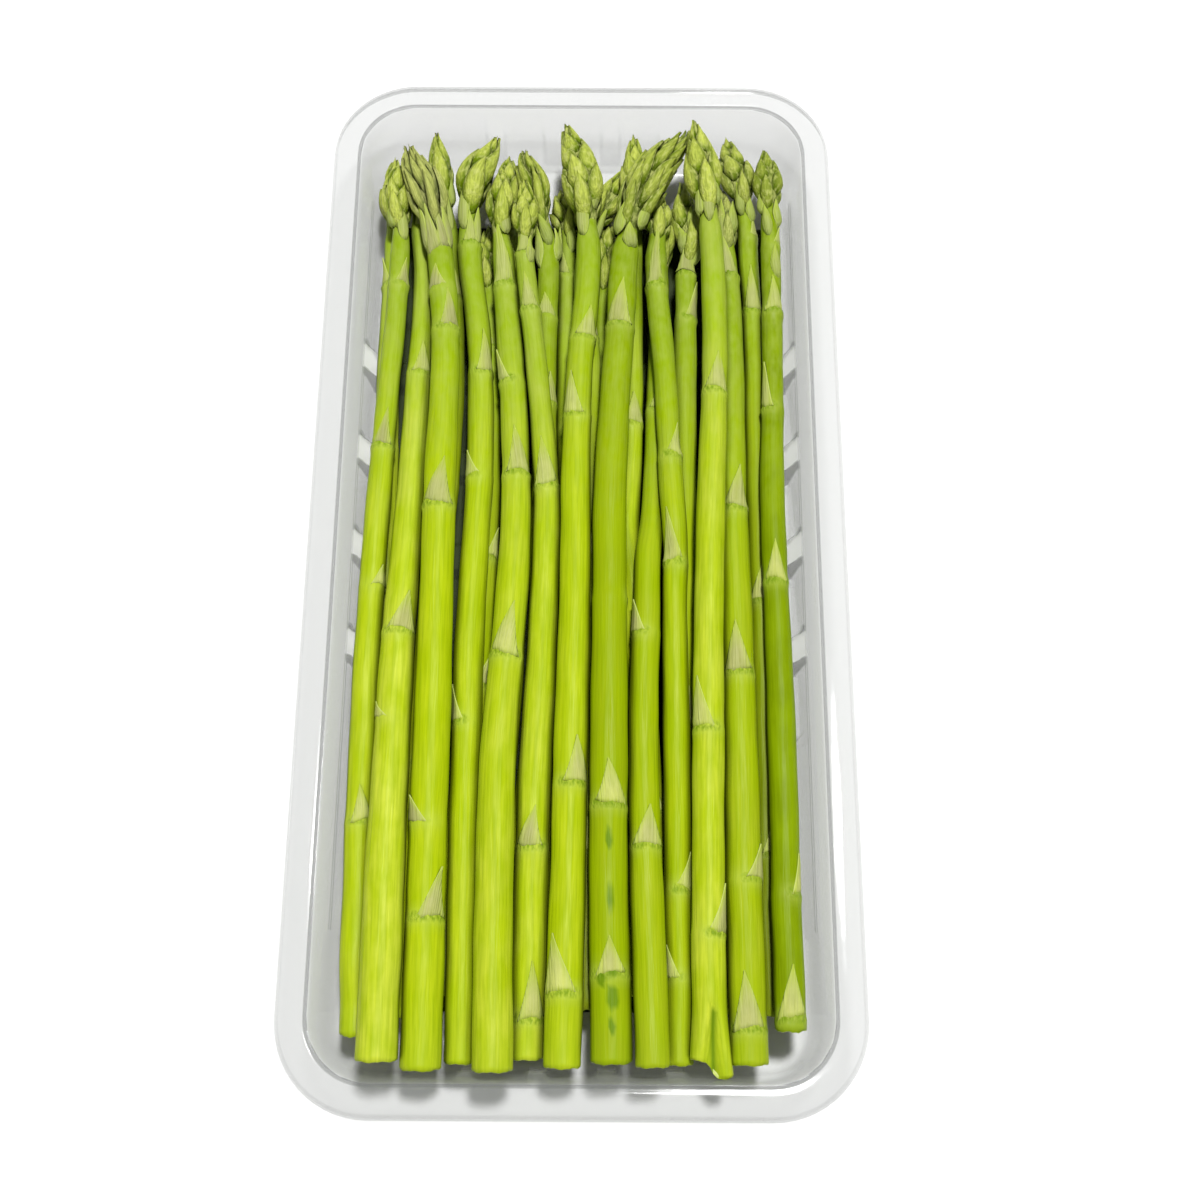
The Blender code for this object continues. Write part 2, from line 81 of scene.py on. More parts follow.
# route: places (y, x) in mm, butt first. levels: layer at the butt and at the tip. butt, neck: radii.
# bracts: (y of the base, angle from the top towards +X in degrees, length).
SPEARS = [
    Spear([(-110, -47), (-35, -48.5), (42, -46.5), (75, -45), (107, -46)], (0.8, 1.1), 3.2, 2.1,
          Bud(20, 3.3, 0.1), [(-64, 20, 8), (-8, 50, 5), (28, 0, 9.5), (72, 40, 7)]),
    Spear([(-98, -45), (-20, -46.5), (50, -48.5), (90, -48.5), (114, -49)], (0, 0.6), 3.3, 2.1,
          Bud(23, 3.1, 0.1), [(-40, 60, 9), (30, -30, 9), (76, -60, 8)]),
    Spear([(-116, -41), (-35, -41.5), (40, -40), (82, -40.5), (115, -46.3)], (1.6, 1.2), 4.3, 1.9,
          Bud(22, 3.0, 0.2), [(-41, -75, 4), (-20, 20, 9.5), (48, 30, 8)]),
    Spear([(-117.5, -32), (-35, -32.5), (14, -33), (68, -34), (88, -37), (110, -45)], (1.4, 1.8), 4.2, 2.9,
          Bud(26, 4.2, 1.0), [(-86, 25, 11), (-65, -50, 6), (11, -5, 11.5), (58, 35, 10), (69, -40, 6)]),
    Spear([(-104, -37), (-20, -34), (50, -30), (87, -31.5), (118.5, -36)], (0, 1.4), 3.6, 1.9,
          Bud(24, 3.3, 0.1), [(-50, 30, 9), (20, -40, 9), (70, 50, 8)]),
    Spear([(-116, -24), (-35, -25), (55, -24.5), (91, -28), (108, -25.5), (116.8, -20.7)], (1.0, 1.4),
          3.4, 2.6, Bud(26, 4.4, 0.3), [(-41, -70, 9), (20, -60, 7), (48, 40, 11), (84, 20, 9)]),
    Spear([(-101, -29), (-20, -23), (50, -22), (96, -24)], (0, 0), 3.5, 2.0,
          Bud(20, 2.9, 0.1), [(-30, 50, 9), (2, 60, 8), (60, -30, 8)]),
    Spear([(-118, -16.5), (-59, -17.5), (14, -14.5), (72, -18.5), (107, -21)], (1.6, 1.5), 4.1, 2.5,
          Bud(22, 3.5, 0.3), [(-26, -10, 12.5), (20, 20, 12), (45, -60, 9), (72, -5, 18)]),
    Spear([(-103, -21), (-20, -15), (55, -16), (93, -18), (116, -18.5)], (0, 0.4), 3.4, 1.9,
          Bud(22, 3.4, 0.1), [(-60, 40, 9), (10, -40, 8), (84, 10, 9)]),
    Spear([(-115, -9.5), (-59, -9), (15, -7.5), (56, -11.5), (81, -14.5), (102, -15)], (1.0, 0.9), 3.7, 2.0,
          Bud(19, 3.0, 0.1), [(-107, 20, 12), (-70, -15, 9), (17, 0, 12.5), (65, 0, 9.5), (81, 0, 8)]),
    Spear([(-102, -13), (-20, -7.5), (57, -8), (89, -8), (116, -15)], (0, 0.8), 3.5, 2.4,
          Bud(26, 3.9, 0.5), [(-40, -40, 9), (42, 50, 8), (66, 0, 6)]),
    Spear([(-104, -5), (-20, 0), (50, -2.5), (91, -3.5), (106, -4.5)], (0, 0.3), 3.4, 2.0,
          Bud(16, 3.4, 0.5), [(-30, 30, 9), (36, 40, 8), (80, -30, 8)]),
    Spear([(-117, -1.5), (-35, 0), (41, 0), (85, 2), (106, -0.5), (119.2, -4.8)], (1.5, 1.9), 3.8, 2.7,
          Bud(32, 4.7, 0.2), [(-102, -25, 12.5), (-56, 35, 10.5), (35, -35, 11), (56, 30, 8)]),
    Spear([(-103, 3.5), (-20, 5), (50, 3.5), (94, 4.5), (110.5, 13.3)], (0, 0.6), 3.4, 2.0,
          Bud(19, 3.4, 0.2), [(-70, 0, 9), (0, -30, 8), (60, 40, 8)]),
    Spear([(-101, 11.5), (-20, 9.5), (55, 5.5), (98.5, 7)], (0, 0), 3.4, 1.8,
          Bud(23, 2.9, 0.1), [(-50, -30, 9), (20, 40, 8)]),
    Spear([(-116, 8), (-35, 7), (14, 7.5), (59, 10), (86, 12.5), (103, 18.8), (117, 28.8)], (1.5, 1.7),
          4.2, 3.1, Bud(33, 4.9, 0.9), [(-98, 0, 8), (-61, 15, 10), (-12, 160, 9), (59, -15, 12)]),
    Spear([(-102, 19.5), (-20, 14.5), (44, 14.5), (90, 15.5), (118.5, 16)], (0, 1.3), 3.4, 1.9,
          Bud(24, 3.2, 0.1), [(-60, 20, 9), (36, 20, 8), (39, -60, 5)]),
    Spear([(-117, 17), (-59, 15.5), (-10, 16.5), (15, 18.5), (60, 20), (101, 22)], (1.2, 0.6), 3.5, 1.9,
          Bud(22, 3.0, 0.1), [(-70, 10, 9), (-20, -60, 8), (40, 30, 8)]),
    Spear([(-116, 23.5), (-35, 23), (15, 22), (55, 20), (72, 18.5), (101, 19)], (1.0, 0.9), 2.9, 2.4,
          Bud(17, 3.0, 0.2), [(-98, -45, 7), (-79, 45, 8.5), (-2, -25, 13), (25, 30, 8.5), (72, -10, 18)]),
    Spear([(-103, 27.5), (-20, 25.5), (43, 25.5), (80, 26), (106.5, 25.2)], (0, 0.8), 3.4, 2.4,
          Bud(26, 3.3, 0.2), [(-40, 10, 9), (66, 50, 10), (79, 0, 10)]),
    Spear([(-104, 35.5), (-20, 30), (44, 31), (104, 31.5)], (0, 0.2), 3.4, 1.8,
          Bud(22, 3.0, 0.1), [(-60, -20, 9), (0, 40, 8), (49, 10, 8)]),
    Spear([(-117, 29.5), (-35, 30.5), (14, 32), (55, 33.5), (91, 32.5), (118.3, 29.1)], (1.5, 2.0), 3.5, 2.6,
          Bud(29, 4.1, 0.1), [(-89, 60, 11), (-43, -35, 12), (41, 15, 10)]),
    Spear([(-116, 37.5), (-35, 37.5), (15, 37), (69, 37.5), (103, 36.2)], (1.2, 1.2), 4.0, 2.5,
          Bud(20, 2.9, 0.1), [(-109, 0, 12), (-77, 60, 8), (-29, -10, 12), (12, 15, 11), (76, -5, 12)]),
    Spear([(-104, 43), (-35, 42.5), (43, 42), (71, 41.5), (96, 39.5), (118, 35.4)], (0.2, 1.3), 3.2, 2.0,
          Bud(22, 3.6, 0.1), [(-70, 40, 9), (-10, 0, 10), (67, 0, 12), (88, 60, 6)]),
    Spear([(-109, 47), (-35, 47), (15, 46.5), (70, 48), (96, 47.8), (112.5, 47.5)], (0.9, 1.4), 3.1, 2.0,
          Bud(19, 3.2, 0.1), [(-107, 0, 11.5), (-80, 75, 9), (-7, 0, 10), (38, -60, 12), (65, 20, 9),
                              (84, 60, 5)]),
]
# how pale, how olive and how purple each spear is, from 0 to 1
TONES = [
    (0.35, 0.1, 0.1), (0.6, 0.05, 0.05), (0.65, 0.0, 0.3), (0.15, 0.05, 0.8), (0.3, 0.2, 0.1),
    (0.25, 0.1, 0.05), (0.3, 0.25, 0.1), (0.45, 0.1, 0.2), (0.5, 0.1, 0.1), (0.5, 0.1, 0.2),
    (0.3, 0.4, 0.2), (0.5, 0.1, 0.1), (0.2, 0.1, 0.1), (0.4, 0.1, 0.0), (0.3, 0.3, 0.2),
    (0.1, 0.55, 0.05), (0.4, 0.1, 0.1), (0.2, 0.4, 0.1), (0.15, 0.3, 0.1), (0.3, 0.35, 0.1),
    (0.3, 0.2, 0.2), (0.55, 0.05, 0.1), (0.3, 0.4, 0.7), (0.25, 0.45, 0.3), (0.1, 0.95, 0.15),
]
print("spears:", len(SPEARS), "bracts:", sum(len(s.bracts) for s in SPEARS))

# %% [markdown]
# ## How thick a spear is along its length
# A stem keeps its girth low down and slims towards the neck. The bud swells from the neck and closes to
# a point. Two short curves say this for every spear.

# %% Radii along a spear
def stem_radius(spear, y):
    butt_y = spear.route[0][0]
    neck_y = spear.route[-1][0] - spear.bud.length
    along = np.clip((y - butt_y) / (neck_y - butt_y), 0, 1)
    return spear.neck + (spear.butt - spear.neck) * (1 - along**1.6)


def bud_radius(spear, y):
    along = np.clip((y - spear.route[-1][0]) / spear.bud.length + 1, 0, 1)
    swell = np.clip(along / 0.45, 0, 1)
    lower = spear.neck + (spear.bud.radius - spear.neck) * swell**1.3 * (2.3 - 1.3 * swell)
    closing = np.clip((along - 0.4) / 0.6, 0, 1)
    return lower * (1 - closing**1.8)


def share_along(spear, y):
    """0 at a spear's cut end, 1 at the point of its bud."""
    return (y - spear.route[0][0]) / (spear.route[-1][0] - spear.route[0][0])


def bud_core(bud):
    """Share of the bud's outline that its solid core fills: an open bud has a slimmer one."""
    return 0.8 - 0.25 * bud.open


def outline_radius(spear, y):
    neck_y = spear.route[-1][0] - spear.bud.length
    return np.where(y < neck_y, stem_radius(spear, y), bud_radius(spear, y))


print("butts are", min(s.butt for s in SPEARS) * 2, "to", max(s.butt for s in SPEARS) * 2, "mm thick")

# %% [markdown]
# ## Settling the spears
# Spears in a tray lie where their neighbours let them. The rule below lets them sink a little at a time.
# Where two overlap, they push each other apart, and each stays nearly straight, as a stiff stalk does.
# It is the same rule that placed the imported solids, so no spear moves away from its node.

# %% Smooth curves and the inside of the tray
FOOT_HALF_WIDTH = 52.4
FOOT_HALF_LENGTH = 117.3
FOOT_CORNER = 10.0
FOOT_HEIGHT = 3.0
TRAY_HEIGHT = 22.0
SHEET = 0.8
WALL_DRAFT = 3.0
RIB_RISE = 2.2
RIB_TOP = 13.5
RIB_MIDDLE = 4.0
RIB_SPAN = 62.0


def smooth_through(points, at):
    """A smooth curve through points (t, value), read at the places in at."""
    t, value = np.array(points, float).T
    slope = np.gradient(value, t)
    at = np.clip(at, t[0], t[-1])
    k = np.clip(np.searchsorted(t, at, side="right") - 1, 0, len(t) - 2)
    span = t[k + 1] - t[k]
    u = (at - t[k]) / span
    rise = value[k + 1] - value[k]
    start = slope[k] * span
    end = slope[k + 1] * span
    return value[k] + start * u + (3 * rise - 2 * start - end) * u**2 + (start + end - 2 * rise) * u**3


def tray_half_width(y, z):
    """Half the inner width of the tray at a place along it and a height, with its round corners."""
    step = WALL_DRAFT * np.clip((z - FOOT_HEIGHT) / (TRAY_HEIGHT - FOOT_HEIGHT), 0, 1)
    corner = FOOT_CORNER + step
    into_corner = np.clip(np.abs(y) - (FOOT_HALF_LENGTH + step - corner), 0, corner)
    beside_ribs = RIB_RISE * np.clip((RIB_TOP + 3 - z) / 3, 0, 1) * (np.abs(y - RIB_MIDDLE) < RIB_SPAN)
    return FOOT_HALF_WIDTH + step - corner + np.sqrt(corner**2 - into_corner**2) - beside_ribs


print("the tray is", round(2 * float(tray_half_width(0.0, 20.0)), 1), "mm wide inside, near its rim")

# %% Let the spears settle
CLEARANCE = 0.48
STATION_STEP = 8.0
SETTLE_STEPS = 420
LAYER_RISE = 7.6
UPPER_LEVEL = 0.75
LAST_BESIDE = 114.0


def eased(values, wanted, active, y, keep, pull):
    """Values drawn back towards a straight offset from the wanted shape, as a stiff stalk would be."""
    result = values.copy()
    for i in range(len(values)):
        on = active[i]
        offset = values[i][on] - wanted[i][on]
        line = np.polyval(np.polyfit(y[on], offset, 1), y[on])
        result[i][on] = wanted[i][on] + line * pull[i] + (offset - line) * keep[i]
    return result


def settle():
    """The stations along Y, and each spear's x and z at them."""
    y = np.arange(-120, 121, STATION_STEP)
    wanted_x = np.array([smooth_through(s.route, y) for s in SPEARS])
    radius = np.array([outline_radius(s, y) for s in SPEARS])
    active = np.array([(y > s.route[0][0] - 6) & (y < s.route[-1][0] + 4) for s in SPEARS])
    reach = np.where(active, np.maximum(radius, 0.8) + CLEARANCE, 0)
    floor = SHEET + RIB_RISE + reach
    level = np.array([np.interp(y, [s.route[0][0], s.route[-1][0]], s.levels) for s in SPEARS])
    lowest = floor + level * LAYER_RISE * 0.8
    upper = level.mean(axis=1) > UPPER_LEVEL
    give = np.where(upper, 0.12, 0.5)[:, None, None]
    share = give / (give + give.transpose(1, 0, 2))
    x = wanted_x.copy()
    z = floor + level * LAYER_RISE * 1.15
    both = active[:, None] & active[None, :] & ~np.eye(len(SPEARS), dtype=bool)[:, :, None]
    beside = np.clip(y, -LAST_BESIDE, LAST_BESIDE)
    for step in range(SETTLE_STEPS):
        left = 1 - step / SETTLE_STEPS
        z = np.maximum(z - 0.12 * min(1, 2 * left), lowest)
        for _ in range(3):
            dx = x[:, None] - x[None, :]
            dz = z[:, None] - z[None, :]
            apart = np.sqrt(dx**2 + dz**2) + 1e-6
            deep = np.where(both, np.maximum(reach[:, None] + reach[None, :] - apart, 0), 0)
            x = x + 0.64 * (share * deep * dx / apart).sum(axis=1)
            z = z + 0.32 * (deep * dz / apart).sum(axis=1)
            room = tray_half_width(beside, z) - reach
            x = np.clip(x, -room, room)
            z = np.maximum(z, floor)
        if step < SETTLE_STEPS - 12:
            x = eased(x, wanted_x, active, y, np.where(upper, 0.3, 0.6), np.where(upper, 0.9, 0.985))
            z = eased(z, np.zeros_like(z), active, y, np.full(len(z), 0.9), np.ones(len(z)))
    return y, x, z


stations, settled_x, settled_z = settle()
for k in (0, 12, 24):
    low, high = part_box(f"spear_{k + 1:02d}")
    print(f"spear {k + 1}: node spans x {low.x / MM:.1f} to {high.x / MM:.1f},",
          f"route x {settled_x[k].min():.1f} to {settled_x[k].max():.1f} mm")

# %% [markdown]
# ## Wrapping shapes onto a settled spear
# Every part of a spear is modelled straight and plain first. Then it is wrapped onto the settled line:
# a point is given by how far along the spear it is, its angle round it, and its distance from the
# middle. This is what the Curve modifier does, but here a point can also follow the swelling of the bud.

# %% A line and its directions
def middle_of(index, y):
    """Points on the middle of a spear, with the slight zigzag that real stems have at their bracts."""
    spear = SPEARS[index]
    x = smooth_through(list(zip(stations, settled_x[index])), y)
    z = smooth_through(list(zip(stations, settled_z[index])), y)
    for base, degrees, length in spear.bracts:
        if length > 6:
            x = x - 0.22 * math.sin(math.radians(degrees)) * np.exp(-((y - base) / 9) ** 2)
    return np.stack([x, y, z], axis=-1)


def wrap(index, y, angle, distance):
    """Places in mm for points along a spear, at an angle from the top towards +X."""
    middle = middle_of(index, y)
    ahead = middle_of(index, y + 0.5) - middle_of(index, y - 0.5)
    ahead = ahead / np.linalg.norm(ahead, axis=-1, keepdims=True)
    side = np.cross(ahead, [0, 0, 1])
    side = side / np.linalg.norm(side, axis=-1, keepdims=True)
    up = np.cross(side, ahead)
    return middle + distance[..., None] * (np.sin(angle)[..., None] * side + np.cos(angle)[..., None] * up)


print("first spear starts at", [round(float(v), 1) for v in middle_of(0, np.array([-110.0]))[0]])

# %% [markdown]
# ## A plain stem
# The stem starts as a filled circle, standing on edge. It is extruded along the spear, one ring at a
# time. Then the cut end gets two insets, so that its rim can be rounded and its middle can sink.

# %% Model one plain stem
STEM_SIDES = 28
STEM_RINGS = 130


def start_mesh():
    if bpy.context.object and bpy.context.object.mode != "OBJECT":
        bpy.ops.object.mode_set(mode="OBJECT")
    bpy.ops.object.select_all(action="DESELECT")


def taken_mesh(obj):
    """The points and faces of a finished shape, which is then removed from the scene."""
    points = np.array([v.co for v in obj.data.vertices])
    faces = [list(p.vertices) for p in obj.data.polygons]
    bpy.data.objects.remove(obj, do_unlink=True)
    return points, faces


start_mesh()
bpy.ops.mesh.primitive_circle_add(
    vertices=STEM_SIDES, radius=1, fill_type="NGON", rotation=(math.pi / 2, 0, 0)
)
plain_stem = bpy.context.object
bpy.ops.object.transform_apply(location=False, rotation=True, scale=False)
bpy.ops.object.mode_set(mode="EDIT")
bpy.ops.mesh.select_all(action="SELECT")
for ring in range(STEM_RINGS):
    bpy.ops.mesh.extrude_region_move(TRANSFORM_OT_translate={"value": (0, 1 / STEM_RINGS, 0)})
bpy.ops.object.mode_set(mode="OBJECT")
print("faces after extruding:", len(plain_stem.data.polygons))

# %% Inset the cut end
for face in plain_stem.data.polygons:
    face.select = face.center.y < 1e-4 and len(face.vertices) > 4
bpy.ops.object.mode_set(mode="EDIT")
bpy.ops.mesh.select_mode(type="FACE")
for thickness in (0.1, 0.2, 0.3):
    bpy.ops.mesh.inset(thickness=thickness)
bpy.ops.mesh.select_all(action="SELECT")
bpy.ops.mesh.normals_make_consistent(inside=False)
bpy.ops.object.mode_set(mode="OBJECT")
STEM_POINTS, STEM_FACES = taken_mesh(plain_stem)
print("plain stem:", len(STEM_POINTS), "points,", len(STEM_FACES), "faces")

# %% [markdown]
# ## A plain leaf for bracts and bud scales
# A bract is a thin triangular leaf that clasps the stem, and a bud is made of many more of them. A grid
# is narrowed row by row towards its point, and the Solidify modifier gives it two faces. Bracts are seen
# from close by, so theirs is finer than the one for bud scales.

# %% Model plain leaves
Leaf = namedtuple("Leaf", "points faces width_at")


def plain_leaf(columns, rows, width_at):
    """A flat leaf from (-1, 0) to (1, 1), narrowed by width_at, with its two faces 1 apart."""
    start_mesh()
    bpy.ops.mesh.primitive_grid_add(x_subdivisions=columns, y_subdivisions=rows, size=2)
    leaf = bpy.context.object
    for v in leaf.data.vertices:
        v.co.y = (v.co.y + 1) / 2
    bpy.ops.object.mode_set(mode="EDIT")
    bpy.ops.mesh.select_mode(type="VERT")
    for row in range(rows + 1):
        bpy.ops.mesh.select_all(action="DESELECT")
        bpy.ops.object.mode_set(mode="OBJECT")
        for v in leaf.data.vertices:
            v.select = abs(v.co.y - row / rows) < 1e-4
        bpy.ops.object.mode_set(mode="EDIT")
        bpy.ops.transform.resize(value=(float(width_at(row / rows)), 1, 1), center_override=(0, 0, 0))
    bpy.ops.object.mode_set(mode="OBJECT")
    solid = leaf.modifiers.new("two faces", "SOLIDIFY")
    solid.thickness = 1
    solid.offset = 1
    bpy.ops.object.modifier_apply(modifier=solid.name)
    return Leaf(*taken_mesh(leaf), width_at)


def bract_width(v):
    return np.maximum(0.03, 1 - v**0.85)


def scale_width(v):
    return np.maximum(0.03, np.minimum(1, (v + 0.2) / 0.45) ** 0.5 * (1 - v**2.3))


def bead_width(v):
    return np.maximum(0.03, np.minimum(1, (v + 0.03) / 0.4) ** 0.5 * (1 - v**2))


BRACT = plain_leaf(12, 14, bract_width)
BEAD = plain_leaf(8, 10, bead_width)
SCALE = plain_leaf(8, 10, scale_width)
print("bract faces:", len(BRACT.faces), "scale faces:", len(SCALE.faces))

# %% [markdown]
# ## Gathering a spear
# The stem, bracts and bud scales of one spear grow as one thing, so they become one mesh. Each point
# also keeps notes for the materials: its place on the straightened spear, its place on its leaf, and
# how far along the spear it is.

# %% Collect parts into one mesh
class Gathered:
    """Points, faces and notes for one piece, added part by part."""

    def __init__(self, tone):
        self.points, self.faces, self.finish = [], [], []
        self.notes = {"grain": [], "leaf": [], "spot": [], "tone": []}
        self.tone = tone
        self.count = 0

    def add(self, points, faces, finish, grain, leaf, spot):
        self.points.append(points)
        self.faces += [[i + self.count for i in face] for face in faces]
        self.finish += finish if isinstance(finish, list) else [finish] * len(faces)
        tone = np.tile(self.tone, (len(points), 1))
        for name, values in (("grain", grain), ("leaf", leaf), ("spot", spot), ("tone", tone)):
            self.notes[name].append(values)
        self.count += len(points)

    def made(self, name, materials):
        mesh = bpy.data.meshes.new(name)
        points = np.concatenate(self.points) * MM
        mesh.from_pydata(points.tolist(), [], self.faces)
        for note, values in self.notes.items():
            layer = mesh.attributes.new(note, "FLOAT_VECTOR", "POINT")
            layer.data.foreach_set("vector", np.concatenate(values).astype(np.float32).ravel())
        for mat in materials:
            mesh.materials.append(mat)
        mesh.polygons.foreach_set("material_index", self.finish)
        mesh.polygons.foreach_set("use_smooth", [True] * len(self.faces))
        mesh.update()
        obj = bpy.data.objects.new(name, mesh)
        bpy.context.scene.collection.objects.link(obj)
        return obj


print("a piece carries the notes:", list(Gathered((0, 0, 0)).notes))

# %% [markdown]
# ## Growing one stem
# Rings gather round the bracts, where the stem changes fastest. Under each bract it swells into a low
# ridge that runs about half way round, and it is faintly uneven elsewhere.

# %% Grow a stem
STEM_EXTRA = 0.28
RIDGE_HEIGHT = 0.42
SPLIT_SPEAR = 21
SPLIT_LENGTH = 13.0
BRUISED_SPEAR = 15
BRUISES = [(-69, 0.05, 2.6, 0.2), (-82, 0.1, 4.2, 0.16), (-96, 0.1, 3.2, 0.3), (-99, -0.45, 1.8, 0.25),
           (-103, 0.1, 2.4, 0.35), (-109, 0.05, 2.2, 0.18)]


def rings_along(spear, t):
    """Where the plain stem's rings go: closer together at the bracts and in the bud."""
    start, end = spear.route[0][0], spear.route[-1][0] - 0.6
    y = np.linspace(start, end, 600)
    density = 1 + 1.5 * (y > end - spear.bud.length) + 14 * np.exp(-((y - start) / 0.5) ** 2)
    for base, _, _ in spear.bracts:
        density = density + 3.2 * np.exp(-((y - base) / 2.2) ** 2)
    total = np.concatenate([[0], np.cumsum((density[1:] + density[:-1]) / 2)])
    return np.interp(t, total / total[-1], y)


def skin_radius(index, y, angle):
    """Radius of the stem's skin at a place and an angle, with its ridges and its slight unevenness."""
    spear = SPEARS[index]
    radius = stem_radius(spear, y) + STEM_EXTRA
    wander = 0.06 * np.sin(0.11 * y + 2.1 * index) + 0.05 * np.sin(0.31 * y + 2 * angle + index)
    furrows = 0.012 * np.sin(9 * angle + 1.7 * index + 0.02 * y)
    radius = radius + wander + furrows
    along = np.clip(share_along(spear, y), 0, 1)
    for base, degrees, length in spear.bracts:
        turn = np.cos(angle - math.radians(degrees))
        facing = 0.2 + 0.8 * np.clip((turn + 0.35) / 1.35, 0, 1) ** 0.7
        size = min(1, length / 9) * (0.5 + 1.1 * along**2)
        edge = base - 0.4 + 0.35 * np.sin(2 * angle + base) + 0.18 * np.sin(7 * angle + 3 * base)
        ridge = np.exp(-((y - edge) / np.where(y < edge, 1.3, 0.7)) ** 2)
        knobs = 1 + 0.3 * np.sin(9 * angle + base) * np.sin(4 * angle + 2 * base)
        radius = radius + RIDGE_HEIGHT * size * facing * ridge * knobs
        radius = radius - 0.15 * size * np.exp(-((y - base - 3) / 2.5) ** 2)
    if index == SPLIT_SPEAR:
        opening = np.clip(1 - (y - spear.route[0][0]) / SPLIT_LENGTH, 0, 1)
        radius = radius * (1 - 0.97 * opening**0.5 * np.exp(-((angle - 0.2) / (0.12 + 0.4 * opening)) ** 2))
    return radius


def grow_stem(gathered, index):
    spear = SPEARS[index]
    x, t, z = STEM_POINTS.T
    angle = np.arctan2(x, z)
    share = np.hypot(x, z)
    y = rings_along(spear, t)
    neck_y = spear.route[-1][0] - spear.bud.length
    blend = np.clip((y - neck_y + 3) / 6, 0, 1)
    radius = skin_radius(index, y, angle) * (1 - blend) + bud_radius(spear, y) * bud_core(spear.bud) * blend
    cut = t < 1e-6
    round_rim = np.where(cut & (share > 0.95), 0.96, 1.0)
    ragged = 0.12 * np.sin(5 * angle + 3 * index) + 0.08 * np.sin(11 * angle + index)
    slant = -0.22 * spear.butt * np.cos(angle) * share + 0.35 * (1 - share) - 0.15 * (share < 0.95) + ragged
    y = y + np.where(cut, slant, 0)
    points = wrap(index, y, angle, radius * share * round_rim)
    if index == SPLIT_SPEAR:
        opening = np.clip(1 - (y - spear.route[0][0]) / SPLIT_LENGTH, 0, 1) ** 1.5
        half = np.clip(x / 0.3 - 0.4, -1, 1)
        points = points + np.outer(opening, [0.3, 0, 0]) + np.outer(opening * half, [0.9, -1.8, 0])
    grain = np.stack([radius * np.sin(angle), y + 37.0 * index, radius * np.cos(angle)], axis=-1)
    along = share_along(spear, y)
    near = np.zeros_like(y)
    for base, degrees, length in spear.bracts:
        turn = np.clip(np.cos(angle - math.radians(degrees)) + 0.5, 0, 1)
        near = np.maximum(near, np.exp(-((y - base) / 2.0) ** 2) * turn * min(1, length / 9))
    mark = np.zeros_like(y)
    if index == BRUISED_SPEAR:
        for place, turn, tall, wide in BRUISES:
            mark = np.maximum(mark, np.exp(-((y - place) / tall) ** 2 - ((angle - turn) / wide) ** 2))
    if index == SPLIT_SPEAR:
        mark = 0.7 * (y < spear.route[0][0] + SPLIT_LENGTH) * np.exp(-((angle - 0.2) / 0.25) ** 2)
    in_bud = y > neck_y + 2
    spot = np.stack([along, np.where(in_bud, 0.4, near), mark], axis=-1)
    leaf = np.stack([share, np.zeros_like(y), np.zeros_like(y)], axis=-1)
    finish = [1 if all(cut[face]) else 3 if all(in_bud[face]) else 0 for face in STEM_FACES]
    gathered.add(points, STEM_FACES, finish, grain, leaf, spot)


print("each stem has", STEM_RINGS, "rings")

# %% [markdown]
# ## Growing the bracts
# A bract clasps the stem at its base, where its edge is crinkled, and lies against it up to its point,
# which may lift a little. Its middle is slightly puffed over the dormant bud that it covers.

# %% Grow the bracts
# side buds: (spear, y of the base, angle from the top towards +X, length, puff)
SIDE_BUDS = [
    (1, 88, -50, 7, 0.9), (1, 84, 30, 10, 0.4), (2, 80, 20, 6, 0.6), (3, 90, 10, 7, 0.3),
    (5, 88, 10, 13, 0.5),
    (4, 79, -25, 13, 0.3), (4, 80, 30, 12, 0.35), (4, 80, 75, 11, 0.5), (4, 80, -75, 12, 0.5),
    (5, 96, 60, 8, 0.9), (6, 88, -30, 12, 0.5), (6, 84, 55, 9, 0.4), (8, 86, 35, 8, 0.7), (9, 88, 20, 9, 0.4),
    (10, 77, 40, 7, 0.5), (11, 80, -62, 12, 0.8), (11, 86, 10, 8, 0.9), (11, 82, 62, 8, 1.0),
    (12, 84, -62, 8, 0.9), (12, 86, 40, 9, 0.9), (13, 84, -30, 13, 0.5), (13, 92, 50, 8, 0.7),
    (14, 88, -30, 9, 0.8), (14, 87, 55, 10, 0.8), (16, 84, -50, 7, 0.9), (16, 86, 60, 9, 1.0),
    (16, 80, 25, 6, 0.8), (16, 92, 72, 8, 1.0), (16, 92, -55, 8, 0.9), (17, 92, -20, 12, 0.6),
    (17, 97, 40, 9, 0.6), (18, 78, 0, 14, 0.4), (20, 84, -40, 7, 1.0), (20, 81, 55, 8, 0.9),
    (20, 88, 20, 8, 0.9), (22, 88, 0, 14, 0.6), (22, 93, 55, 8, 0.9), (22, 90, -60, 8, 0.7),
    (23, 84, -30, 12, 0.5), (23, 88, 45, 9, 0.8), (24, 94, -20, 8, 1.0), (24, 92, 45, 7, 0.9),
    (25, 86, -15, 8, 0.8), (25, 89, 65, 7, 1.0), (25, 93, -65, 6, 0.8), (25, 74, 30, 8, 0.7),
]
rng = np.random.default_rng(11)


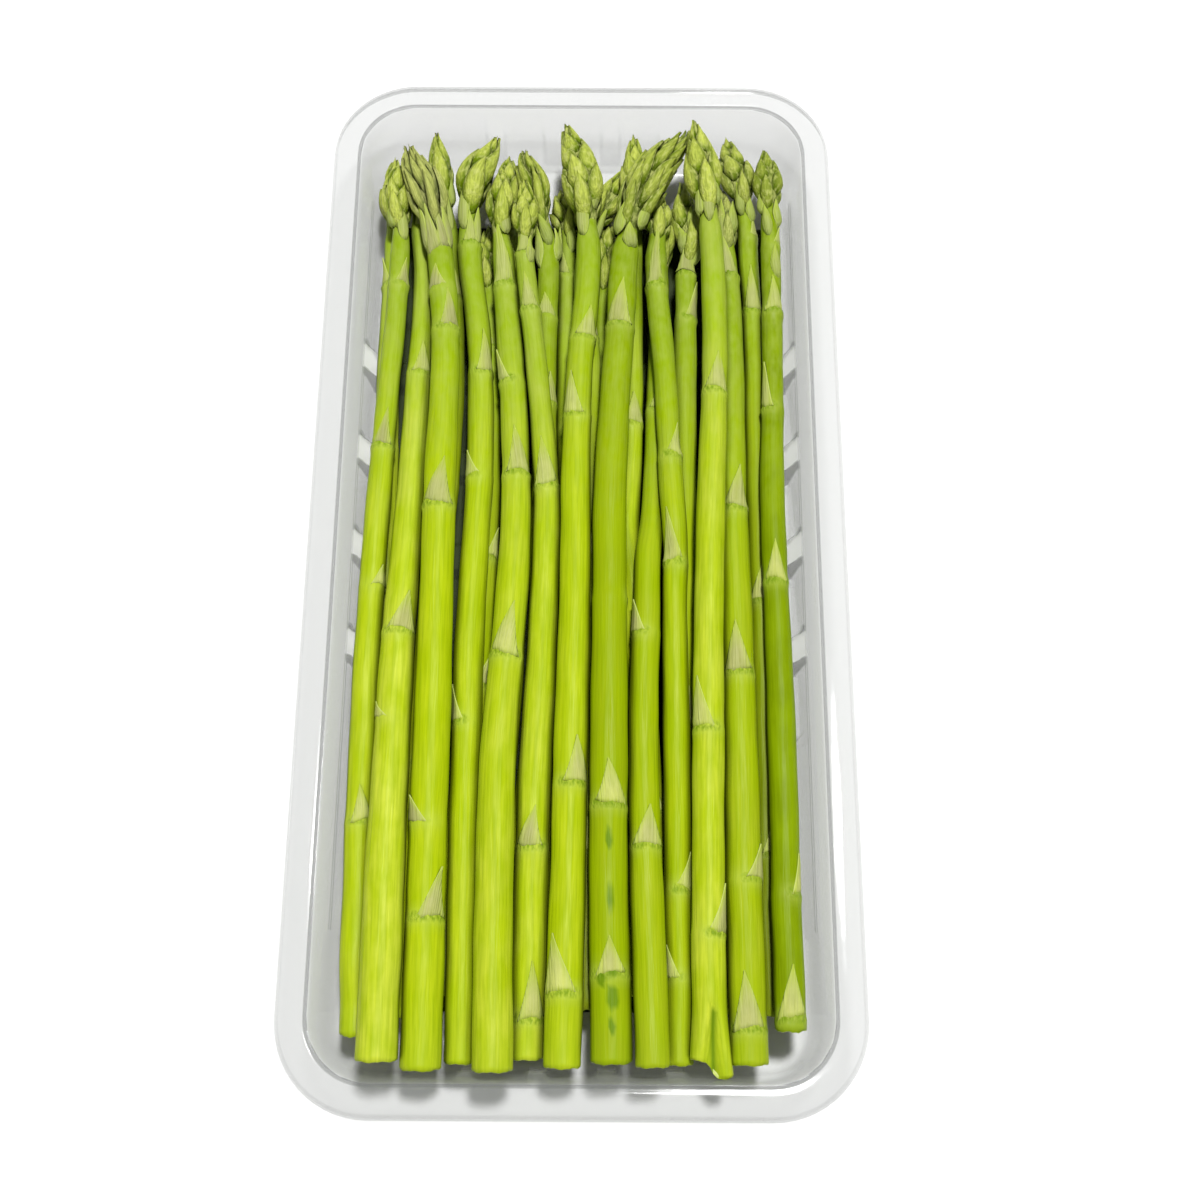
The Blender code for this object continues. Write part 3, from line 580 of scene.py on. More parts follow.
def grow_leaf(gathered, index, shape, base, degrees, length, half_angle, puff, lift):
    spear = SPEARS[index]
    u, v, w = shape.points.T
    phase, twist, slope, chance = rng.uniform(0, 6.3), rng.uniform(-1, 1), rng.uniform(-1, 1), rng.uniform()
    low = np.exp(-v / 0.1)
    y = base + length * v + low * (0.3 * np.sin(3 * u + phase) + 0.12 * np.sin(11 * u + 2 * phase))
    y = y + 0.08 * length * slope * u * (1 - v)
    angle = math.radians(degrees) + u * half_angle + 0.45 * twist * v**1.3
    edge = np.abs(u) / shape.width_at(v)
    middle = np.clip(1 - edge**2, 0, 1)
    outer = 0.14 + puff * middle * np.sin(math.pi * np.clip(0.15 + 0.85 * v**0.7, 0, 1)) + lift * v**4
    outer = outer * np.clip(v / 0.14, 0, 1) - 0.05 * low + 0.06 * low * np.sin(9 * u + 2 * phase)
    loose = 0.5 * lift * np.clip(math.copysign(1, twist) * u / shape.width_at(v), 0, 1) ** 3 * (1 - v)
    distance = np.where(w > 0.5, outer, lift * v**4 - 0.25) + loose + skin_radius(index, y, angle)
    points = wrap(index, y, angle, distance)
    grain = np.stack([u * 4, y + 37.0 * index, distance], axis=-1)
    leaf = np.stack([edge, v, np.full_like(v, chance)], axis=-1)
    along = share_along(spear, y)
    spot = np.stack([along, np.full_like(v, puff), np.zeros_like(v)], axis=-1)
    gathered.add(points, shape.faces, 2, grain, leaf, spot)


def grow_bracts(gathered, index):
    for base, degrees, length in SPEARS[index].bracts:
        half_angle = math.radians(rng.uniform(44, 66))
        puff, lift = rng.uniform(0.05, 0.35), rng.uniform(0, 0.6)
        grow_leaf(gathered, index, BRACT, base, degrees, length, half_angle, puff, lift)
    for number, base, degrees, length, puff in SIDE_BUDS:
        if number == index + 1:
            half_angle = math.radians(rng.uniform(34, 46))
            shape = BEAD if puff > 0.35 else BRACT
            grow_leaf(gathered, index, shape, base, degrees, 1.15 * length, half_angle, 1.1 * puff, 0.15)


print("side buds:", len(SIDE_BUDS))

# %% [markdown]
# ## Growing the buds
# A bud is a shoot that hasn't opened: scales overlap like roof tiles, each a golden angle round from the
# one before, and they get shorter towards the point. Each is puffed in its middle, and its edges sink
# into creases, where the material paints shade by the height noted here. In an open bud the points stand
# away.

# %% Grow the buds
GOLDEN_ANGLE = math.radians(137.5)
BudStyle = namedtuple("BudStyle", "scales reach half_angle puff flare")
PLAIN_BUD = BudStyle(14, 0.48, 50, 0.8, 0.25)
# the buds that differ from the plain one, by spear number; reach: the first scale's share of the bud
BUD_STYLES = {
    4: BudStyle(26, 0.62, 23, 0.7, 1.2),
    5: BudStyle(7, 0.8, 66, 0.4, 0.1),
    6: BudStyle(9, 0.68, 56, 0.6, 0.5),
    8: BudStyle(10, 0.6, 52, 0.7, 0.3),
    11: BudStyle(12, 0.72, 32, 0.6, 0.5),
    12: BudStyle(16, 0.42, 34, 0.9, 0.9),
    13: BudStyle(18, 0.4, 48, 0.85, 0.2),
    14: BudStyle(13, 0.52, 42, 0.8, 0.5),
    16: BudStyle(34, 0.4, 27, 0.6, 0.9),
    20: BudStyle(11, 0.5, 50, 1.0, 0.2),
    22: BudStyle(11, 0.5, 52, 1.1, 0.15),
    24: BudStyle(14, 0.42, 48, 1.0, 0.15),
    25: BudStyle(11, 0.48, 50, 1.0, 0.1),
}


def grow_bud(gathered, index):
    spear = SPEARS[index]
    bud = spear.bud
    style = BUD_STYLES.get(index + 1, PLAIN_BUD)
    tip_y = spear.route[-1][0]
    core = bud_core(bud)
    u, v, w = SCALE.points.T
    width = scale_width(v)
    middle = np.clip(1 - (u / width) ** 2, 0, 1)
    for k in range(style.scales):
        part = k / (style.scales - 1)
        base = tip_y - bud.length * (1.0 - 0.76 * part**0.9)
        length = min(bud.length * style.reach * (1 - 0.4 * part) * rng.uniform(0.9, 1.1), tip_y + 0.1 - base)
        y = base + length * v + 0.25 * np.exp(-v / 0.15) * np.sin(5 * u + k)
        turn = k * GOLDEN_ANGLE + rng.uniform(-0.3, 0.3)
        angle = turn + u * math.radians(style.half_angle) * (1 + 0.4 * part)
        outline = np.maximum(bud_radius(spear, y), 0.3)
        swell = 1.2 * style.puff * (1 - 0.55 * part) * middle**0.8 * np.sin(math.pi * (0.12 + 0.8 * v**0.8))
        stand = 0.75 * v - 0.55 + style.flare * v**2 * (1 - 0.5 * part)
        outer = outline * (core + (1 - core) * np.clip(v * 2.5, 0, 1)) + stand + swell - 0.3 * (1 - middle)
        distance = np.maximum(np.where(w > 0.5, outer + 0.1, outer - 0.25), 0.05)
        points = wrap(index, y, angle, distance)
        grain = np.stack([u * 3, y + 37.0 * index, distance], axis=-1)
        leaf = np.stack([np.abs(u) / width, v, np.full_like(v, rng.uniform())], axis=-1)
        along = share_along(spear, y)
        # height above the core: the bud scale material paints shade where it is low and a highlight where it
        # is high
        height = np.clip((distance - outline * core + 0.6) / (outline * (1 - core) + 1.1), 0, 1)
        spot = np.stack([along, height, np.full_like(v, part)], axis=-1)
        gathered.add(points, SCALE.faces, 3, grain, leaf, spot)


print("buds of their own style:", sorted(BUD_STYLES))

# %% [markdown]
# ## Materials: shared effects
# Two effects are used by more than one plant surface, so each is a node group. One gives faint streaks
# along the spear, and the other a soft mottle. Both read the note "grain", the place on the straightened
# spear, so they follow each bend.

# %% Shared node groups
def to_linear(color):
    """A colour as picked on a screen, 0 to 1, turned into the linear values that shaders use."""
    return tuple(c / 12.92 if c <= 0.04045 else ((c + 0.055) / 1.055) ** 2.4 for c in color) + (1.0,)


def noise_group(name, stretch, scale, detail, low, high):
    """A group with one mask: noise on the note grain, stretched along the spear."""
    group = bpy.data.node_groups.new(name, "ShaderNodeTree")
    group.interface.new_socket("Scale", in_out="INPUT", socket_type="NodeSocketFloat").default_value = scale
    group.interface.new_socket("Mask", in_out="OUTPUT", socket_type="NodeSocketFloat")
    nodes, links = group.nodes, group.links
    inside = nodes.new("NodeGroupInput")
    place = nodes.new("ShaderNodeAttribute")
    place.attribute_name = "grain"
    mapping = nodes.new("ShaderNodeMapping")
    mapping.inputs["Scale"].default_value = (1, stretch, 1)
    noise = nodes.new("ShaderNodeTexNoise")
    noise.inputs["Detail"].default_value = detail
    spread = nodes.new("ShaderNodeMapRange")
    spread.inputs["From Min"].default_value = low
    spread.inputs["From Max"].default_value = high
    out = nodes.new("NodeGroupOutput")
    links.new(place.outputs["Vector"], mapping.inputs["Vector"])
    links.new(mapping.outputs["Vector"], noise.inputs["Vector"])
    links.new(inside.outputs["Scale"], noise.inputs["Scale"])
    links.new(noise.outputs["Fac"], spread.inputs["Value"])
    links.new(spread.outputs["Result"], out.inputs["Mask"])
    return group


streaks_group = noise_group("lengthwise streaks", 0.05, 1.6, 3, 0.3, 0.7)
mottle_group = noise_group("soft mottle", 0.5, 0.25, 4, 0.35, 0.65)
print("groups:", [g.name for g in bpy.data.node_groups])

# %% Small helpers for wiring materials
def new_material(name, roughness, gloss=0.2):
    mat = bpy.data.materials.new(name)
    mat.use_nodes = True
    shader = mat.node_tree.nodes["Principled BSDF"]
    shader.inputs["Roughness"].default_value = roughness
    shader.inputs["Specular IOR Level"].default_value = gloss
    return mat, mat.node_tree, shader


def effect(tree, group, scale):
    node = tree.nodes.new("ShaderNodeGroup")
    node.node_tree = group
    node.inputs["Scale"].default_value = scale
    return node.outputs["Mask"]


def note(tree, name):
    """The three values of a note, as separate sockets."""
    attribute = tree.nodes.new("ShaderNodeAttribute")
    attribute.attribute_name = name
    split = tree.nodes.new("ShaderNodeSeparateXYZ")
    tree.links.new(attribute.outputs["Vector"], split.inputs["Vector"])
    return split.outputs


def ramp(value, stops):
    """A colour ramp: stops are (position, colour as seen on a screen). id_data is a socket's node tree."""
    node = value.id_data.nodes.new("ShaderNodeValToRGB")
    while len(node.color_ramp.elements) < len(stops):
        node.color_ramp.elements.new(0.5)
    for element, (position, color) in zip(node.color_ramp.elements, stops):
        element.position = position
        element.color = to_linear(color)
    value.id_data.links.new(value, node.inputs["Fac"])
    return node.outputs["Color"]


def layered(color, layers):
    """A colour with others laid over it in turn. layers: (mask, a socket or a colour as seen on a screen)."""
    links = color.id_data.links
    for mask, other in layers:
        node = color.id_data.nodes.new("ShaderNodeMix")
        node.data_type = "RGBA"
        links.new(mask, node.inputs[0])
        links.new(color, node.inputs[6])
        if isinstance(other, tuple):
            node.inputs[7].default_value = to_linear(other)
        else:
            links.new(other, node.inputs[7])
        color = node.outputs[2]
    return color


def fitted(value, low, high, to_low=0.0, to_high=1.0):
    node = value.id_data.nodes.new("ShaderNodeMapRange")
    for name, number in (("From Min", low), ("From Max", high), ("To Min", to_low), ("To Max", to_high)):
        node.inputs[name].default_value = number
    value.id_data.links.new(value, node.inputs["Value"])
    return node.outputs["Result"]


def scaled(value, most):
    return fitted(value, 0, 1, 0, most)


def with_painted_gap_shade(color, distance, dark, openest=0.7):
    """A colour with painted shade in its gaps and creases: the ones narrower than a distance in mm."""
    gaps = color.id_data.nodes.new("ShaderNodeAmbientOcclusion")
    gaps.samples = 4
    gaps.inputs["Distance"].default_value = distance * MM
    return layered(color, [(fitted(gaps.outputs["AO"], 0.1, openest, 0.85, 0), dark)])


def worked_out(operation, first, second):
    """Two values combined by a Math node, such as ADD or MULTIPLY."""
    node = first.id_data.nodes.new("ShaderNodeMath")
    node.operation = operation
    first.id_data.links.new(first, node.inputs[0])
    first.id_data.links.new(second, node.inputs[1])
    return node.outputs[0]


def bumped(shader, height, strength, distance):
    tree = shader.id_data
    bump = tree.nodes.new("ShaderNodeBump")
    bump.inputs["Strength"].default_value = strength
    bump.inputs["Distance"].default_value = distance * MM
    tree.links.new(height, bump.inputs["Height"])
    tree.links.new(bump.outputs["Normal"], shader.inputs["Normal"])


print("a mid green on screen is, in linear values:", [round(c, 2) for c in to_linear((0.66, 0.8, 0.1))[:3]])

# %% [markdown]
# ## Materials: the skin of the stem
# The skin is a bright yellow-green, a little duller and darker near the bud. It is waxy, so highlights
# are soft. Streaks run along it, a paler bloom sits in soft patches, and a crinkled dark line marks each
# bract's base. An Ambient Occlusion node measures how closed in a place is, and paints shade into the gaps.

# %% Stem skin
stem_skin, tree, shader = new_material("stem skin", 0.42, 0.08)
along, near, mark = note(tree, "spot")
pale, olive, _ = note(tree, "tone")
green = ramp(along, [
    (0.0, (0.71, 0.78, 0.12)), (0.08, (0.72, 0.79, 0.0)), (0.6, (0.70, 0.78, 0.0)),
    (0.8, (0.56, 0.68, 0.0)), (0.92, (0.44, 0.56, 0.0)),
])
waxy = ramp(along, [(0.0, (0.81, 0.85, 0.26)), (0.5, (0.78, 0.83, 0.24)), (0.8, (0.68, 0.74, 0.30))])
mottle = effect(tree, mottle_group, 0.22)
streaks = effect(tree, streaks_group, 1.5)
bloom = worked_out("MULTIPLY", pale, fitted(mottle, 0, 1, 0.35, 1.4))
worn = worked_out("MULTIPLY", fitted(along, 0.5, 1, 0, 0.5), effect(tree, mottle_group, 0.6))
ring = worked_out("MULTIPLY", fitted(near, 0.55, 0.95), effect(tree, mottle_group, 1.5))
green = layered(green, [
    (bloom, waxy),
    (olive, (0.44, 0.53, 0.0)),
    (fitted(mottle, 0, 1, 0.3, 0), (0.62, 0.73, 0.0)),
    (fitted(streaks, 0.1, 0.9, 0, 0.42), (0.52, 0.63, 0.0)),
    (scaled(near, 0.4), (0.74, 0.80, 0.36)),
    (worn, (0.66, 0.72, 0.34)),
    (scaled(ring, 0.8), (0.42, 0.55, 0.0)),
    (fitted(mark, 0.25, 0.6, 0, 0.8), (0.36, 0.50, 0.0)),
])
# painted shade in the gaps between stems and in creases
tree.links.new(with_painted_gap_shade(green, 4.0, (0.13, 0.17, 0.0)), shader.inputs["Base Color"])
tree.links.new(fitted(streaks, 0, 1, 0.36, 0.5), shader.inputs["Roughness"])
bumped(shader, worked_out("ADD", streaks, scaled(ring, -3)), 0.4, 0.18)
print("stem skin has", len(tree.nodes), "nodes")

# %% Cut end
cut_flesh, tree, shader = new_material("cut flesh", 0.5)
edge, _, _ = note(tree, "leaf")
flesh = ramp(edge, [(0.0, (0.84, 0.87, 0.58)), (0.8, (0.80, 0.85, 0.46)), (1.0, (0.70, 0.80, 0.25))])
fibres = tree.nodes.new("ShaderNodeTexVoronoi")
fibres.inputs["Scale"].default_value = 1.1
grain = tree.nodes.new("ShaderNodeAttribute")
grain.attribute_name = "grain"
tree.links.new(grain.outputs["Vector"], fibres.inputs["Vector"])
dots = fitted(fibres.outputs["Distance"], 0.1, 0.35, 1, 0)
flesh = layered(flesh, [(scaled(dots, 0.4), (0.60, 0.68, 0.24))])
tree.links.new(flesh, shader.inputs["Base Color"])
bumped(shader, dots, 0.3, 0.2)
print("cut flesh has", len(tree.nodes), "nodes")

# %% [markdown]
# ## Materials: bracts and bud scales
# A bract is papery: pale greenish beige, green where it joins the stem and towards its point, with a pale
# rim, and greyer or purplish in the middle of some. Bud scales are greener and olive, with paler rims.
# Their colour carries painted shade in the creases and towards their edges, and a painted highlight on
# their puffed middles.

# %% Bract
bract_skin, tree, shader = new_material("bract", 0.6, 0.1)
edge, up, chance = note(tree, "leaf")
along, puffed, _ = note(tree, "spot")
_, _, purple = note(tree, "tone")
streaks = effect(tree, streaks_group, 2.2)
paper = ramp(up, [
    (0.0, (0.66, 0.74, 0.06)), (0.1, (0.79, 0.82, 0.40)),
    (0.55, (0.77, 0.79, 0.43)), (1.0, (0.68, 0.71, 0.28)),
])
shade = worked_out("MULTIPLY", fitted(chance, 0.25, 1, 0, 0.8), fitted(edge, 0.2, 0.9, 1, 0))
paper = layered(paper, [
    (fitted(along, 0.4, 1, 0, 0.75), (0.58, 0.65, 0.31)),
    (shade, (0.58, 0.57, 0.37)),
    (scaled(purple, 0.6), (0.60, 0.57, 0.42)),
    (fitted(puffed, 0.3, 1, 0, 0.75), (0.54, 0.62, 0.22)),
    (scaled(effect(tree, mottle_group, 0.6), 0.35), (0.54, 0.60, 0.20)),
    (fitted(up, 0.35, 0.95, 0, 0.75), (0.66, 0.75, 0.12)),
    (fitted(edge, 0.5, 0.85, 0, 0.45), (0.66, 0.75, 0.12)),
    (fitted(edge, 0.88, 1, 0, 0.7), (0.80, 0.84, 0.48)),
    (scaled(streaks, 0.3), (0.82, 0.83, 0.60)),
])
# painted shade in the gaps and creases round the bract
tree.links.new(with_painted_gap_shade(paper, 2.0, (0.22, 0.28, 0.0)), shader.inputs["Base Color"])
bumped(shader, streaks, 0.6, 0.25)
print("bract has", len(tree.nodes), "nodes")

# %% Bud scale
scale_skin, tree, shader = new_material("bud scale", 0.55, 0.08)
edge, up, chance = note(tree, "leaf")
_, height, _ = note(tree, "spot")
_, olive, purple = note(tree, "tone")
streaks = effect(tree, streaks_group, 3.0)
mottle = effect(tree, mottle_group, 1.2)
# this ramp by height paints shade into the low creases and a highlight onto the puffed tops
scale = ramp(height, [
    (0.0, (0.05, 0.08, 0.0)), (0.42, (0.20, 0.28, 0.0)),
    (0.66, (0.44, 0.54, 0.02)), (0.9, (0.80, 0.84, 0.38)),
])
rim = worked_out("MULTIPLY", fitted(edge, 0.8, 0.92, 0, 0.9), fitted(mottle, 0.2, 0.6, 0.3, 1))
scale = layered(scale, [
    (scaled(chance, 0.3), (0.50, 0.60, 0.02)),
    # painted shade towards the edges, where a scale tucks under its neighbours
    (fitted(edge, 0.45, 0.8, 0, 0.6), (0.28, 0.37, 0.0)),
    (rim, (0.78, 0.81, 0.46)),
    (fitted(up, 0.85, 1, 0, 0.4), (0.52, 0.55, 0.20)),
    (scaled(olive, 0.6), (0.40, 0.48, 0.10)),
    (fitted(purple, 0.2, 1, 0, 0.55), (0.69, 0.68, 0.47)),
    (fitted(streaks, 0.2, 0.8, 0.45, 0), (0.32, 0.39, 0.0)),
    (fitted(mottle, 0.5, 1, 0, 0.5), (0.80, 0.82, 0.48)),
])
# painted shade in the gaps and creases between bud scales
tree.links.new(with_painted_gap_shade(scale, 1.8, (0.08, 0.11, 0.0), 0.85), shader.inputs["Base Color"])
bumped(shader, worked_out("ADD", streaks, effect(tree, mottle_group, 2.4)), 0.5, 0.25)
print("bud scale has", len(tree.nodes), "nodes")

# %% [markdown]
# ## Growing all the spears
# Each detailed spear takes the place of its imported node, which stays for collisions. It rides on the
# same body.

# %% Grow every spear
def grow_spear(index):
    gathered = Gathered(TONES[index])
    grow_stem(gathered, index)
    grow_bracts(gathered, index)
    grow_bud(gathered, index)
    spear = gathered.made(f"grown_spear_{index + 1:02d}", [stem_skin, cut_flesh, bract_skin, scale_skin])
    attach(spear, "root")
    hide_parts(f"spear_{index + 1:02d}")
    return spear


grown = [grow_spear(index) for index in range(len(SPEARS))]
print("faces in all spears:", sum(len(s.data.polygons) for s in grown))

# %% [markdown]
# ## The clear tray
# The tray is one thin sheet, drawn down hot over a mould. It starts as a plane with round corners at the
# edge of the skirt. Each inset steps inwards and up or down: over the flange, down the wall and onto the
# base. Even insets keep the corners round.

# %% Draw the tray's sheet
SKIRT_STEP = 11.0
SKIRT_END = 18.8
SHEET_THICKNESS = 0.45
# (step out from the foot of the wall, height), from the skirt's edge to the base
TRAY_PROFILE = [
    (10.7, 20.0), (10.3, 21.3), (9.9, 21.8), (9.3, 22.0), (6.5, 22.0), (4.3, 22.0), (4.0, 21.55), (3.7, 21.9),
    (3.3, 21.5), (2.9, 20.4),
    (1.6, 13.5), (1.5, 12.9), (1.2, 10.9), (0.2, 3.4), (-0.4, 1.8), (-1.4, 0.75), (-2.6, 0.45),
]

start_mesh()
bpy.ops.mesh.primitive_plane_add(size=2, location=(0, 0, SKIRT_END * MM))
tray = bpy.context.object
tray.name = "clear_tray"
bpy.ops.object.mode_set(mode="EDIT")
bpy.ops.transform.resize(
    value=((FOOT_HALF_WIDTH + SKIRT_STEP) * MM, (FOOT_HALF_LENGTH + SKIRT_STEP) * MM, 1)
)
bpy.ops.mesh.bevel(offset=(FOOT_CORNER + SKIRT_STEP) * MM, segments=14, profile=0.5, affect="VERTICES")
bpy.ops.mesh.select_mode(type="FACE")
bpy.ops.mesh.select_all(action="SELECT")
step, height = SKIRT_STEP, SKIRT_END
for next_step, next_height in TRAY_PROFILE:
    inwards, upwards = (step - next_step) * MM, (next_height - height) * MM
    bpy.ops.mesh.inset(thickness=inwards, depth=upwards, use_even_offset=True)
    step, height = next_step, next_height
bpy.ops.object.mode_set(mode="OBJECT")
bpy.ops.object.transform_apply(location=True, rotation=True, scale=True)
tallest = max(v.co.z for v in tray.data.vertices)
print("tray sheet:", len(tray.data.polygons), "faces, height in mm:", round(tallest / MM, 2))

# %% [markdown]
# ## Ribs
# Five ribs cross the base and run a little way up both side walls. The sheet is cut where each rib
# begins and where its crest begins, and the strip between the inner cuts is raised.

# %% Cut the sheet at the ribs
RIB_CENTRES = [RIB_MIDDLE + 25.0 * k for k in range(-2, 3)]
RIB_FOOT = 9.6
RIB_CREST = 6.2
FLUTE_CENTRES = (-22.5, -7.5, 7.5, 22.5)
FLUTE_REACH = 2.1
PANEL = (-88.0, 98.5)
PANEL_RISE = 0.6
FLUTE_RISE = 0.9
END_WALL = 112.0
WALL_TOP = 20.3
BUNDLE_HALF_WIDTH = 46.0
BUNDLE_START = -104.0


def cut_across(place, axis, high, beyond=0.0):
    """Cuts the faces below a height, and nearer the ends than a place, with a plane across an axis."""
    bpy.ops.object.mode_set(mode="OBJECT")
    for face in tray.data.polygons:
        face.select = face.center.z < high * MM and abs(face.center.y) > beyond * MM
    bpy.ops.object.mode_set(mode="EDIT")
    normal = [0, 0, 0]
    normal[axis] = 1
    spot = [0, 0, 0]
    spot[axis] = place * MM
    bpy.ops.mesh.bisect(plane_co=spot, plane_no=normal)


start_mesh()
tray.select_set(True)
bpy.context.view_layer.objects.active = tray
bpy.ops.object.mode_set(mode="EDIT")
bpy.ops.mesh.select_mode(type="FACE")
for centre in RIB_CENTRES:
    for offset in (-RIB_FOOT / 2, -RIB_CREST / 2, 0, RIB_CREST / 2, RIB_FOOT / 2):
        cut_across(centre + offset, 1, RIB_TOP)
for place in (*PANEL, PANEL[0] - 1.2, PANEL[1] + 1.2):
    cut_across(place, 1, WALL_TOP)
cut_across(BUNDLE_START, 1, FOOT_HEIGHT)
for centre in FLUTE_CENTRES:
    for offset in (-3.0, -2.0, 2.0, 3.0):
        cut_across(centre + offset, 0, WALL_TOP, END_WALL)
bpy.ops.object.mode_set(mode="OBJECT")
print("after the rib cuts:", len(tray.data.polygons), "faces")

# %% Raise the ribs
def rib_share(y):
    """1 on a rib's crest, 0 off the rib."""
    away = min(abs(y - centre) for centre in RIB_CENTRES)
    return min(1, max(0, (RIB_FOOT / 2 - away) / (RIB_FOOT / 2 - RIB_CREST / 2)))


def on_flute(x):
    return min(abs(x - centre) for centre in FLUTE_CENTRES) < FLUTE_REACH


raised = 0
for v in tray.data.vertices:
    x, y, z = v.co / MM
    share = rib_share(y)
    if share < 0.5 or z > RIB_TOP - 0.5 or abs(x) > FOOT_HALF_WIDTH + 2:
        continue
    lean = (RIB_TOP - z) / RIB_TOP
    inward = 0 if abs(x) < 40 else RIB_RISE * min(1, 1.25 * lean)
    lift = 2.55 if z < 2 else 2.55 * max(0, (11 - z) / 9)
    v.co.x = math.copysign(abs(x) - inward, x) * MM
    v.co.z = (z + lift) * MM
    raised += 1
for v in tray.data.vertices:
    x, y, z = v.co / MM
    on_wall = 3 < z < 14
    if on_wall and abs(x) > 48 and PANEL[0] - 0.1 < y < PANEL[1] + 0.1:
        v.co.x -= math.copysign(PANEL_RISE, x) * MM
    if on_wall and abs(y) > END_WALL and on_flute(x):
        v.co.y -= math.copysign(FLUTE_RISE, y) * MM
print("points raised into ribs:", raised)

# %% [markdown]
# ## Marks on the sheet
# Clear plastic is told from its surroundings by a few lines. Where the sheet bends, at the rim, along the
# walls and beside the ribs, it is denser and darker with painted shade, and the ribs' ends and the near
# flutes are brighter with painted highlights. Faces there are marked for plastics of their own. So is the
# base under the bundle: the real base is clear, but hardly any light gets below the spears, and the gaps
# between them look almost black.

# %% Mark the bends for painted shade, the ribs' ends and near flutes for painted highlights, and the shaded base
def step_out(x, y):
    """How far a place lies outside the foot of the wall, in mm, with its round corners."""
    dx = abs(x) - FOOT_HALF_WIDTH + FOOT_CORNER
    dy = abs(y) - FOOT_HALF_LENGTH + FOOT_CORNER
    return math.hypot(max(dx, 0), max(dy, 0)) + min(max(dx, dy), 0) - FOOT_CORNER


RIM_BEND = (3.65, 4.35)
WALL_LINE = (12.9, 13.5)
for face in tray.data.polygons:
    x, y, z = face.center / MM
    # rib flanks get plastic with painted shade, rib crests plastic with painted highlights
    if abs(x) > 45 and 0.5 < z < RIB_TOP and rib_share(y) > 0.05:
        face.material_index = 2 if rib_share(y) > 0.9 else 1
    # the near flutes: painted highlights
    elif y < -END_WALL and 1 < z < 14 and on_flute(x):
        face.material_index = 2
    # the rim's bend: painted shade
    elif RIM_BEND[0] < step_out(x, y) < RIM_BEND[1]:
        face.material_index = 1
    # the line along the walls: painted shade
    elif WALL_LINE[0] < z < WALL_LINE[1] and PANEL[0] < y < PANEL[1]:
        face.material_index = 1
    elif abs(x) < BUNDLE_HALF_WIDTH and BUNDLE_START < y < PANEL[1] and z < 4:
        face.material_index = 3
marks = [face.material_index for face in tray.data.polygons]
print("faces in bends:", marks.count(1), "on bright ends:", marks.count(2), "shaded:", marks.count(3))

# %% Thicken the sheet
soft_edges = tray.modifiers.new("soft edges", "BEVEL")
soft_edges.width = 0.5 * MM
soft_edges.segments = 2
soft_edges.limit_method = "ANGLE"
soft_edges.angle_limit = math.radians(25)
bpy.ops.object.modifier_apply(modifier=soft_edges.name)
thicken = tray.modifiers.new("sheet", "SOLIDIFY")
thicken.thickness = SHEET_THICKNESS * MM
thicken.offset = -1
bpy.ops.object.modifier_apply(modifier=thicken.name)
bpy.ops.object.shade_smooth_by_angle(angle=math.radians(35))
print("tray:", len(tray.data.polygons), "faces")

# %% [markdown]
# ## Material: clear plastic
# Thin clear plastic is seen mostly by its reflections, which are strongest where the sheet turns away
# from the eye. Layer Weight finds those places. They are made less see-through, and the rest is nearly
# clear. The bends are denser with painted shade, the ribs' ends brighter with painted highlights, and the
# base under the bundle is dull and dark green with painted shade.

# %% Clear plastic
def plastic(name, color, clearest, densest, roughness=0.07, gloss=0.5):
    """Clear plastic: how much is seen of it from straight above and from the side, from 0 to 1."""
    mat, tree, shader = new_material(name, roughness, gloss)
    shader.inputs["Base Color"].default_value = to_linear(color)
    facing = tree.nodes.new("ShaderNodeLayerWeight")
    facing.inputs["Blend"].default_value = 0.5
    rays = tree.nodes.new("ShaderNodeLightPath")
    density = fitted(facing.outputs["Facing"], 0.25, 0.95, clearest, densest)
    in_shadow = fitted(rays.outputs["Is Shadow Ray"], 0, 1, 1, 0.3)
    tree.links.new(worked_out("MULTIPLY", density, in_shadow), shader.inputs["Alpha"])
    wobble = tree.nodes.new("ShaderNodeTexNoise")
    wobble.inputs["Scale"].default_value = 60
    coordinates = tree.nodes.new("ShaderNodeTexCoord")
    tree.links.new(coordinates.outputs["Object"], wobble.inputs["Vector"])
    bumped(shader, wobble.outputs["Fac"], 0.15, 0.6)
    return mat


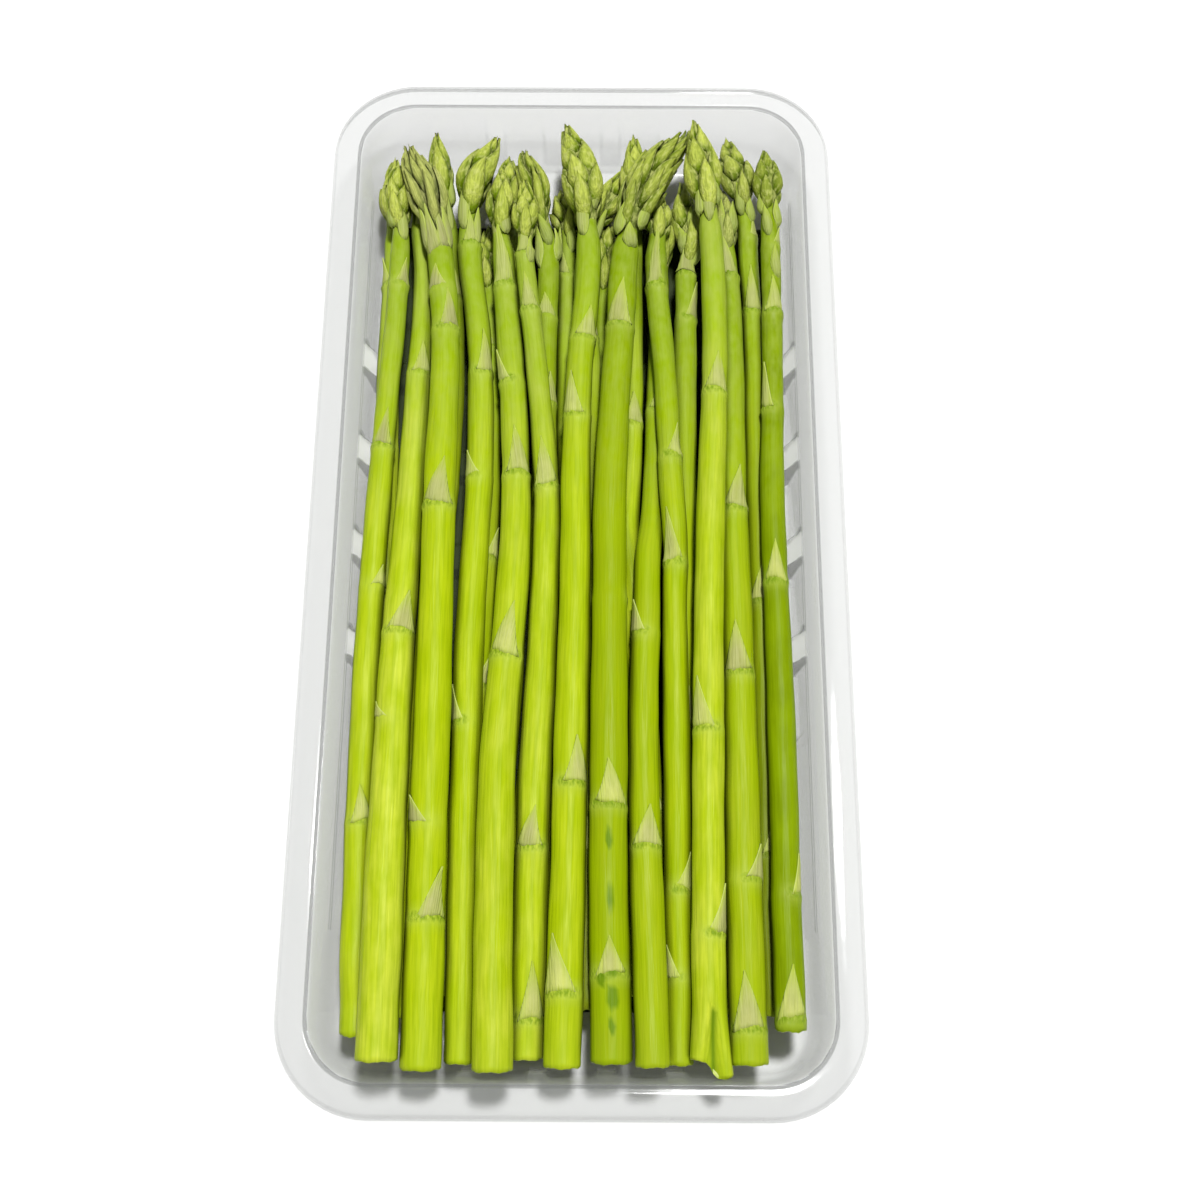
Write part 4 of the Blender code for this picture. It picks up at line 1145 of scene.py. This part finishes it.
clear_plastic = plastic("clear plastic", (0.62, 0.63, 0.62), 0.22, 0.42)
# denser, darker plastic: painted shade along the bends
bend_shade_plastic = plastic("plastic with painted shade at bends", (0.50, 0.51, 0.50), 0.45, 0.6)
# whiter plastic: painted highlights on the ribs' ends and the near flutes
highlight_plastic = plastic("plastic with painted highlights", (0.96, 0.96, 0.96), 0.3, 0.42)
shaded_plastic = plastic("plastic shaded by the bundle", (0.16, 0.21, 0.02), 0.8, 0.85, 0.6, 0.05)
for mat in (clear_plastic, bend_shade_plastic, highlight_plastic, shaded_plastic):
    tray.data.materials.append(mat)
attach(tray, "root")
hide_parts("tray")
print("plastics:", [m.name for m in tray.data.materials])

# %% [markdown]
# ## Floor and light
# A white floor and white surroundings keep the plastic bright. One large lamp overhead, beyond the far
# end and to the right, throws soft shadows towards the butts.

# %% Floor
start_mesh()
bpy.ops.mesh.primitive_plane_add(size=4, location=(0, 0, -0.0003))
floor = bpy.context.object
floor.name = "floor"
floor_paint, _, shader = new_material("white floor", 0.9)
shader.inputs["Base Color"].default_value = (0.93, 0.93, 0.93, 1)
shader.inputs["Specular IOR Level"].default_value = 0.0
floor.data.materials.append(floor_paint)
print("floor at", round(floor.location.z / MM, 1), "mm")

# %% Lights
world = bpy.data.worlds.new("white room")
bpy.context.scene.world = world
world.use_nodes = True
world.node_tree.nodes["Background"].inputs["Color"].default_value = (1, 1, 1, 1)
world.node_tree.nodes["Background"].inputs["Strength"].default_value = 0.26


def soft_lamp(name, place, size, watts):
    bpy.ops.object.light_add(type="AREA", location=Vector(place) * MM)
    lamp = bpy.context.object
    lamp.name = name
    lamp.data.size = size * MM
    lamp.data.energy = watts
    lamp.rotation_euler = (-Vector(place)).to_track_quat("-Z", "Y").to_euler()
    return lamp


soft_lamp("overhead lamp", (210, 360, 2000), 230, 44)
bpy.context.scene.view_settings.view_transform = "Standard"

# %% [markdown]
# ## Sizes
# The dressed part is meant to keep the size of the imported one.

# %% Finish
bpy.context.view_layer.update()
